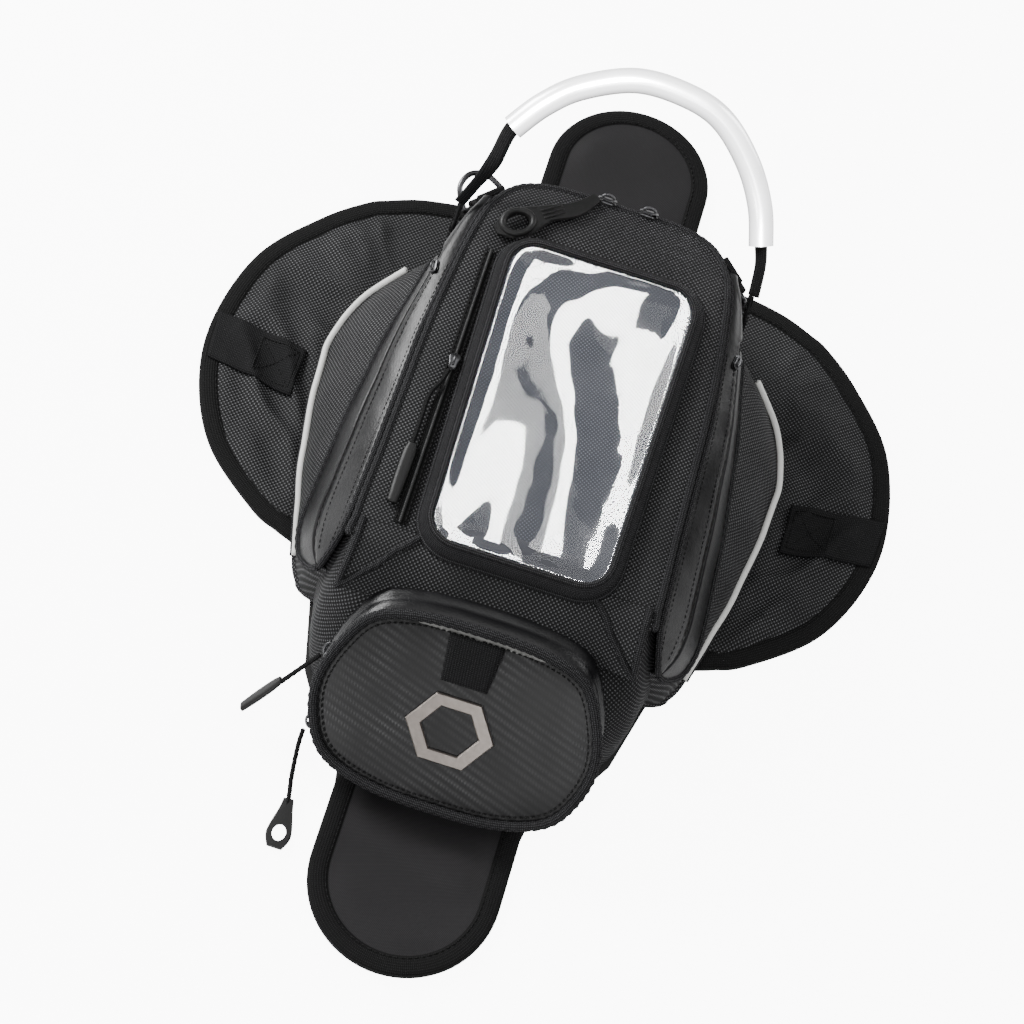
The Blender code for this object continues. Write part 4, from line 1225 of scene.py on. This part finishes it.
def emblem():
    """A plain six-sided ring with softened edges."""
    def hexagon(radius):
        return [(EMBLEM_U + radius * cos(pi * k / 3), EMBLEM_V + radius * 0.86 * sin(pi * k / 3))
                for k in range(6)]

    inner = EMBLEM_R - EMBLEM_WIDTH * 1.15
    section = ((EMBLEM_R, 0.5), (EMBLEM_R, 1.9), (EMBLEM_R - 0.8, 2.6), (inner + 0.8, 2.6), (inner, 1.9),
               (inner, 0.5))
    rings = [[on_face(u, v, w) for u, v in hexagon(radius)] for radius, w in section]
    ring = skin("emblem_ring", rings, NICKEL, closed=True, wrap=True, sharp=20)
    placed(ring, "pocket_face", "nickel", "emblem")


# ---------------------------------------------------------------- sliders and pulls

def slider(name, centre, ahead, out, body, scale=1.0):
    """A zip slider: two plates, a neck between them and a bridge for the pull."""
    forward = Vector(ahead).normalized()
    out = Vector(out)
    out = (out - forward * out.dot(forward)).normalized()
    side_way = forward.cross(out)
    middle = Vector(centre)
    shape = curve_through([(-5.6, 2.2), (-5.6, -2.2), (-1.0, -3.2), (2.6, -4.1), (5.4, -2.4), (5.4, 2.4),
                           (2.6, 4.1), (-1.0, 3.2)], 3, closed=True)
    levels = ((0.0, 0.9), (0.35, 1.0), (1.0, 1.0), (1.3, 0.9), (1.35, 0.5), (2.1, 0.5), (2.15, 0.9),
              (2.5, 1.0), (3.0, 0.96), (3.3, 0.8))
    rings = []
    for level, share in levels:
        rings.append([middle + (forward * a * share + side_way * b * share + out * level) * scale
                      for a, b in shape])
    plates = skin(name + "_body", rings, GUNMETAL, closed=True, sharp=35)
    placed(plates, body, "gunmetal", name)
    turns = [pi * k / 10 for k in range(11)]
    arch = [middle + (forward * (3.6 * cos(t)) + out * (3.1 + 2.2 * sin(t))) * scale for t in turns]
    placed(tube(name + "_bridge", arch, 0.9 * scale, GUNMETAL, sides=8, step=0.6), body, "gunmetal")


def grip(name, path, widths, thickness, out, body, slot, look, hole=None, nodes=()):
    """A flat moulded grip along a path, rounded over its edges, with an optional ring at its end."""
    points = [Vector(p) for p in path]
    smooth_path = curve_through([tuple(p) for p in points], 8)
    smooth_width = [w[0] for w in curve_through([(w, 0.0) for w in widths], 8)]
    up = Vector(out).normalized()
    rows = []
    for i, p in enumerate(smooth_path):
        a = Vector(smooth_path[min(i + 1, len(smooth_path) - 1)]) - Vector(smooth_path[max(i - 1, 0)])
        across = a.normalized().cross(up).normalized()
        half = smooth_width[i] / 2
        section = [(half, 0.5), (half * 0.86, 0.92), (half * 0.3, 1.0), (-half * 0.3, 1.0),
                   (-half * 0.86, 0.92), (-half, 0.5), (-half * 0.86, 0.08), (half * 0.86, 0.08)]
        rows.append([Vector(p) + across * s + up * h * thickness for s, h in section])
    obj = skin(name, rows, look, closed=True)
    if hole:
        middle, radius, stretch = hole
        ahead = (points[-1] - points[-3]).normalized()
        across = ahead.cross(up).normalized()
        turns = [pi * k / 16 for k in range(32)]
        rings = []
        for level in (-3.0, thickness + 3.0):
            rings.append([Vector(middle) + up * level + ahead * cos(t) * radius * stretch
                          + across * sin(t) * radius for t in turns])
        cutter = skin(name + "_cutter", rings, look, closed=True)
        cut = obj.modifiers.new("hole", "BOOLEAN")
        cut.operation = "DIFFERENCE"
        cut.object = cutter
        cut.solver = "EXACT"
        apply(obj)
        bpy.data.objects.remove(cutter, do_unlink=True)
        obj.data.set_sharp_from_angle(angle=radians(45))
    return placed(obj, body, slot, *nodes)


def pull_cord(name, route, radius, body):
    """The textile cord of a zip pull, a free cord from its slider to its grip."""
    line = evenly(curve_through([tuple(p) for p in route], 8), 1.0)
    length = sum((b - a).length for a, b in zip(line, line[1:]))
    obj = tube(name, line, radius, CORD, sides=10, step=0.7, strands=3, pitch=4.0, depth=0.12)
    placed(obj, body, "pull_rubber")


def pulls():
    window_pull()
    main_pull()
    pocket_pulls()
    for sign, name in ((-1, "side_slider_left"), (1, "side_slider_right")):
        low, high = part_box(name)
        centre = (low + high) / 2 / MM
        slider(name, centre - Vector((sign * 1.0, 0, 0.6)), (0, -0.987, -0.118), (sign * 0.75, 0, 0.66),
               name, 0.75)


def window_pull():
    """The window zip's slider, and its cord with a rubber grip."""
    centre = on_lid(WINDOW_ZIP_U, 125, LID_T + 2.5)
    slider("window_slider", centre, LID_ALONG, LID_OUT, "window_slider", 0.82)
    route = [on_lid(WINDOW_ZIP_U + u, v, LID_T + w) for u, v, w in
             ((-1, 118, 5.6), (-3, 110, 5.0), (-7, 100, 4.0), (-7.2, 84, 3.4), (-7.3, 72, 3.1),
              (-7.5, 66, 3.1))]
    ends = [on_lid(WINDOW_ZIP_U + u, v, LID_T + 1.7) for u, v in
            ((-7.3, 68), (-7.4, 62), (-7.6, 46), (-7.8, 30))]
    handle = grip("window_grip", ends, (5, 7.5, 7.5, 6), 2.8, LID_OUT, "window_puller", "pull_rubber", RUBBER,
                  nodes=("window_puller",))
    pull_cord("window_pull_cord", route, 1.3, "window_puller")


def main_pull():
    """The main zip's two sliders, and the rubber strap with a ring that hangs on the left one."""
    def edge_at(sign):
        return on_lid(MAIN_SLIDERS_X + sign * MAIN_SLIDERS_APART / 2, 261.5, LID_T / 2)

    for sign, name in ((-1, "main_slider_left"), (1, "main_slider_right")):
        slider(name, edge_at(sign) + Vector((0, 1.2, 0.6)), (1, 0, 0), (0, 0.72, 0.69), name)
    path = [edge_at(-1) + Vector((-6.6, 0.2, 3.2))]
    path += [on_lid(u, v, LID_T + 2.8) for u, v in
             ((-24, 247), (-38, 238), (-44, 233), (-52, 226), (-60, 219), (-65.5, 214.2))]
    centre = on_lid(-54.5, 224.0, LID_T + 2.8)
    grip("main_ring_pull", path, (7, 10.5, 11.5, 15, 19.5, 16, 6), 2.8, LID_OUT, "main_puller", "pull_rubber",
         RUBBER, (centre, 5.6, 1.3), ("main_puller",))
    ahead = (on_lid(-60, 219) - on_lid(-44, 233)).normalized()
    across = ahead.cross(LID_OUT)
    turns = [pi * k / 16 for k in range(32)]
    lip = [centre + LID_OUT * 2.6 + ahead * cos(t) * 9.6 + across * sin(t) * 7.6 for t in turns]
    ring = tube("main_ring_lip", lip, 2.0, RUBBER, closed=True, sides=12, step=1.2)
    placed(ring, "main_puller", "pull_rubber")
    rib = [on_lid(-31, 243.4, LID_T + 5.4), on_lid(-42, 234.4, LID_T + 5.8)]
    for k in (-1, 0, 1):
        line = [p + across * 2.6 * k for p in rib]
        placed(tube("main_strap_rib_%d" % (k + 1), line, 0.7, RUBBER, sides=8), "main_puller", "pull_rubber")


def pocket_pulls():
    """The front pocket's two sliders: the upper one's grip hangs, the lower one's ring lies on the floor."""
    upper = on_face(-77.5, 14, -8.3)
    ahead = on_face(-70, 28) - on_face(-79, 2)
    slider("pocket_slider_upper", upper, ahead, (-1, 0, 0), "pocket_slider_upper", 0.95)
    start = upper + Vector((-5, -2, -3))
    end = Vector((-117, -184, 12))
    route = [start.lerp(end, t) + Vector((0, 0, 1.3)) for t in (0.04, 0.16, 0.3, 0.45, 0.56)]
    ends = [start.lerp(end, t) for t in (0.5, 0.6, 0.8, 1.0)]
    handle = grip("pocket_grip_upper", ends, (5, 8.5, 9, 7), 2.8, (-0.75, 0.2, 0.6), "pocket_puller_upper",
                  "pull_rubber", RUBBER, nodes=("pocket_puller_upper",))
    pull_cord("pocket_pull_cord_upper", route, 1.4, "pocket_puller_upper")
    lower = on_face(-75.5, -27, -8.3)
    ahead = on_face(-77, -15) - on_face(-67, -35)
    slider("pocket_slider_lower", lower, ahead, (-1, 0, 0), "pocket_slider_lower", 0.95)
    x, y, z = lower
    route = [Vector(p) for p in ((x - 5, y - 5, z - 5.6), (x - 5.2, y - 12, z - 14.5), (x - 3.4, -212, 7.5),
                                 (x - 1.4, -222, 4.0), (x - 0.8, -228, 2.6))]
    ends = [(x - 0.9, -224, 1.4), (x - 0.5, -230, 1.2), (x, -245, 1.2), (x, -253.6, 1.2)]
    handle = grip("pocket_ring_pull", ends, (6, 8, 14.5, 9), 2.8, UP, "pocket_puller_lower", "pull_rubber",
                  RUBBER, (Vector((x, -244.5, 1.2)), 3.9, 1.35), ("pocket_puller_lower",))
    pull_cord("pocket_pull_cord_lower", route, 1.4, "pocket_puller_lower")


# ---------------------------------------------------------------- handle and D-rings

def handle():
    centre = evenly(curve_through(TUBE_POINTS, 10), 2.0)
    frames = frames_along(centre)

    def circles(r):
        return [[c + (a * cos(2 * pi * k / 32) + b * sin(2 * pi * k / 32)) * r for k in range(32)]
                for c, (a, b) in zip(centre, frames)]

    outer, inner = circles(TUBE_R - 0.1), circles(TUBE_BORE + 0.4)
    sleeve = skin("handle_sleeve", outer + inner[::-1], SILVER, closed=True, wrap=True, sharp=50)
    placed(sleeve, "handle", "silver_tube", "handle_tube")
    whole = curve_through(LEFT_TAIL[:-1] + TUBE_POINTS + RIGHT_TAIL[1:], 10)
    line = evenly(whole, 2.0)
    rows = []
    total = len(line) - 1
    section = ((1, 0.4), (0.6, 1), (0, 1), (-0.6, 1), (-1, 0.4), (-1, -0.4), (-0.6, -1), (0, -1), (0.6, -1),
               (1, -0.4))
    side_way = Vector((0, 0.6, 0.5))
    for i, p in enumerate(line):
        ahead = (line[min(i + 1, total)] - line[max(i - 1, 0)]).normalized()
        side_way = (side_way - ahead * side_way.dot(ahead)).normalized()
        from_end = min(i, total - i) * 2.0
        twist = radians(60 if i < total / 2 else 10) * (1 - ramp(from_end, 14.0, 42.0))
        turned = Matrix.Rotation(twist, 3, ahead) @ side_way
        thick = ahead.cross(turned)
        half = 4.9 - 1.2 * (1 - ramp(from_end, 14.0, 40.0))
        rows.append([p + turned * half * a + thick * 1.1 * b for a, b in section])
    placed(skin("handle_webbing", rows, WEBBING, closed=True), "handle", "webbing", "handle_strap")
    for sign, name in ((-1, "left"), (1, "right")):
        anchor(sign, name)


def anchor(sign, name):
    """The webbing that holds one end of the handle, with a box of stitches."""
    low, high = (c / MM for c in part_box("handle_anchor_" + name))
    y = (low.y + high.y) / 2
    rows = []
    for k in range(15):
        z = low.z + (high.z - low.z) * k / 14
        half = (high.y - low.y) / 2 * (1 - 0.55 * ramp(z, high.z - 12, high.z))
        x = sign * (ANCHOR_X + 0.5 * sin(k * 0.9))
        rows.append([(x, y + half * (j / 5 - 1), z) for j in range(11)])
    cloth = skin("anchor_webbing_" + name, rows, WEBBING, thickness=1.8)
    placed(cloth, "bag", "webbing", "handle_anchor_" + name)
    x = sign * (ANCHOR_X + 1.5)
    y0, y1, z0, z1 = low.y + 4, high.y - 4, low.z + 4, low.z + 13
    route = [(y0, z0), (y1, z0), (y1, z1), (y0, z1), (y0, z0), (y1, z1), (y0, z1), (y1, z0)]
    places = []
    for start, end in zip(route, route[1:]):
        a, b = Vector((x, *start)), Vector((x, *end))
        count = max(2, round((b - a).length / 3.0))
        for k in range(count):
            places.append((a.lerp(b, (k + 0.5) / count), (b - a).normalized(), Vector((sign, 0, 0))))
    placed(bars("anchor_stitches_" + name, places, THREAD, 2.2, 0.7, 0.4), "bag", "webbing")


def d_ring(sign, name):
    corner = Vector((sign * D_RING_PLACE[0], D_RING_PLACE[1], D_RING_PLACE[2]))
    tilt = D_RING_TILT[name]
    out = Vector((sign * 0.72, 0.69, 0.0))
    bar = Vector((-out.y, out.x, 0.0)) * sign
    reach = out * sin(tilt) - UP * cos(tilt)
    corners = ((-14, 0), (-14, 3), (-13, 8), (-9, 16), (0, 20), (9, 16), (13, 8), (14, 3), (14, 0), (7, 0),
               (0, 0), (-7, 0))
    ring = [tuple(corner + bar * a + reach * b) for a, b in corners]
    wire = tube("d_ring_wire_" + name, curve_through(ring, 6, closed=True), 1.8, GUNMETAL, closed=True,
                sides=14, step=1.2)
    placed(wire, "d_ring_" + name, "gunmetal", "d_ring_" + name)
    outline = [(-5.4, 14), (-3.6, 14), (-3.4, 3.4), (0, 2.6), (2.2, 1.6), (2.6, 0), (2.2, -1.6), (0, -2.6),
               (-3.4, -3.4), (-3.4, -5), (0, -4.6), (3.8, -2.6), (4.6, 0), (3.8, 2.6), (0, 4.6), (-1.8, 5.2),
               (-1.8, 16), (-5.4, 16)]
    shape = curve_through(outline, 3, closed=True)
    rows = [[corner + bar * (-9 + 18 * k / 10) + out * p + UP * q for p, q in shape] for k in range(11)]
    loop = skin("d_ring_webbing_" + name, rows, WEBBING, closed=True, sharp=50)
    placed(loop, "bag", "webbing", "d_ring_loop_" + name)


# ---------------------------------------------------------------- what stays from the CAD

def carried_over():
    """The stiffening board and the magnets keep their CAD shapes, and get materials."""
    kept = {"base_board": BOARD}
    for part in ("wing_left", "wing_right", "front_flap", "rear_flap"):
        kept[part + "_magnet"] = MAGNET
    for name, look in kept.items():
        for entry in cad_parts[name].material_slots:
            entry.material = look


# ---------------------------------------------------------------- studio

def lights_only(source, name, *objects):
    """Makes a light, or a glowing surface, reach only some objects."""
    receivers = bpy.data.collections.new(name + "_receivers")
    for obj in objects:
        receivers.objects.link(obj)
    source.light_linking.receiver_collection = receivers


def light(name, place, target, size, power, *only):
    data = bpy.data.lights.new(name, "AREA")
    data.shape = "RECTANGLE"
    data.size, data.size_y = size
    data.energy = power
    obj = bpy.data.objects.new(name, data)
    obj.location = place
    obj.rotation_mode = "QUATERNION"
    obj.rotation_quaternion = (Vector(target) - Vector(place)).to_track_quat("-Z", "Y")
    obj.visible_camera = False
    if only:
        lights_only(obj, name, *only)
    bpy.context.scene.collection.objects.link(obj)


def studio():
    reach, drop = 60.0, 0.0004
    floor = bpy.data.meshes.new("floor")
    floor.from_pydata([(x * reach, y * reach, -drop) for x, y in ((-1, -1), (1, -1), (1, 1), (-1, 1))],
                      [], [(0, 1, 2, 3)])
    surface = Look("floor_look")
    surface.shader.inputs["Emission Color"].default_value = (1.0, 1.0, 1.0, 1.0)
    surface.shader.inputs["Emission Strength"].default_value = 9.0
    color = surface.color(surface.cloud(900.0), (0.86, 0.86, 0.86), (0.90, 0.90, 0.90))
    floor.materials.append(surface.done(color, 0.85))
    ground = bpy.data.objects.new("floor", floor)
    bpy.context.scene.collection.objects.link(ground)
    lights_only(ground, "floor", ground)
    world = bpy.data.worlds.new("studio")
    world.use_nodes = True
    world.node_tree.nodes["Background"].inputs["Color"].default_value = (1.0, 1.0, 1.0, 1.0)
    world.node_tree.nodes["Background"].inputs["Strength"].default_value = 0.16
    bpy.context.scene.world = world
    light("key", (-1.25, 0.65, 0.90), (0, 0, 0.05), (0.7, 0.7), 36.0)
    light("rim", (1.0, 1.0, 0.6), (0, 0, 0.05), (0.4, 0.9), 8.0)
    light("front", (-0.6, -1.2, 0.7), (0, -0.05, 0.05), (0.5, 0.3), 7.0)
    light("near", (0.35, -1.2, 1.05), (0, -0.15, 0.05), (0.4, 0.4), 5.0)
    film, sleeve = bpy.data.objects["window_film"], bpy.data.objects["handle_sleeve"]
    light("window_glow", (0.0, 0.48, 1.35), (0, 0.0, 0.1), (0.50, 0.70), 280.0, film)
    light("window_haze", (-0.45, 0.50, 1.25), (0, 0.0, 0.1), (0.35, 0.9), 22.0, film)
    light("handle_glow", (-0.15, -0.5, 1.45), (0, 0.19, 0.15), (0.6, 0.6), 230.0, sleeve)
    light("overhead", (0.1, 0.0, 1.7), (0, 0.0, 0.1), (1.2, 1.2), 9.0)


def camera():
    """At the bag's near side, 62 degrees above the ground, rolled so that the bag stands askew."""
    target = Vector((-0.006, -0.032, 0.050))
    height = radians(62)
    roll = radians(17.7)
    back = Vector((0, -cos(height), sin(height)))
    right = Vector((1, 0, 0))
    up = back.cross(right)
    across = right * cos(roll) + up * sin(roll)
    upward = up * cos(roll) - right * sin(roll)
    data = bpy.data.cameras.new("camera")
    data.sensor_width = 36.0
    data.lens = 90.9
    obj = bpy.data.objects.new("camera", data)
    columns = Matrix((across, upward, back)).transposed().to_4x4()
    obj.matrix_world = Matrix.Translation(target + back * 1.5) @ columns
    bpy.context.scene.collection.objects.link(obj)
    bpy.context.scene.camera = obj


camera()
for sign, name in ((-1, "left"), (1, "right")):
    wing(sign, name)
    side(sign, name)
    d_ring(sign, name)
flap("front_flap", FRONT_FOLD_Y, 52.0, 172.0)
flap("rear_flap", REAR_FOLD_Y, 54.0, -192.0)
base_sheet()
body()
lid()
window()
front_pocket()
pulls()
handle()
carried_over()
studio()
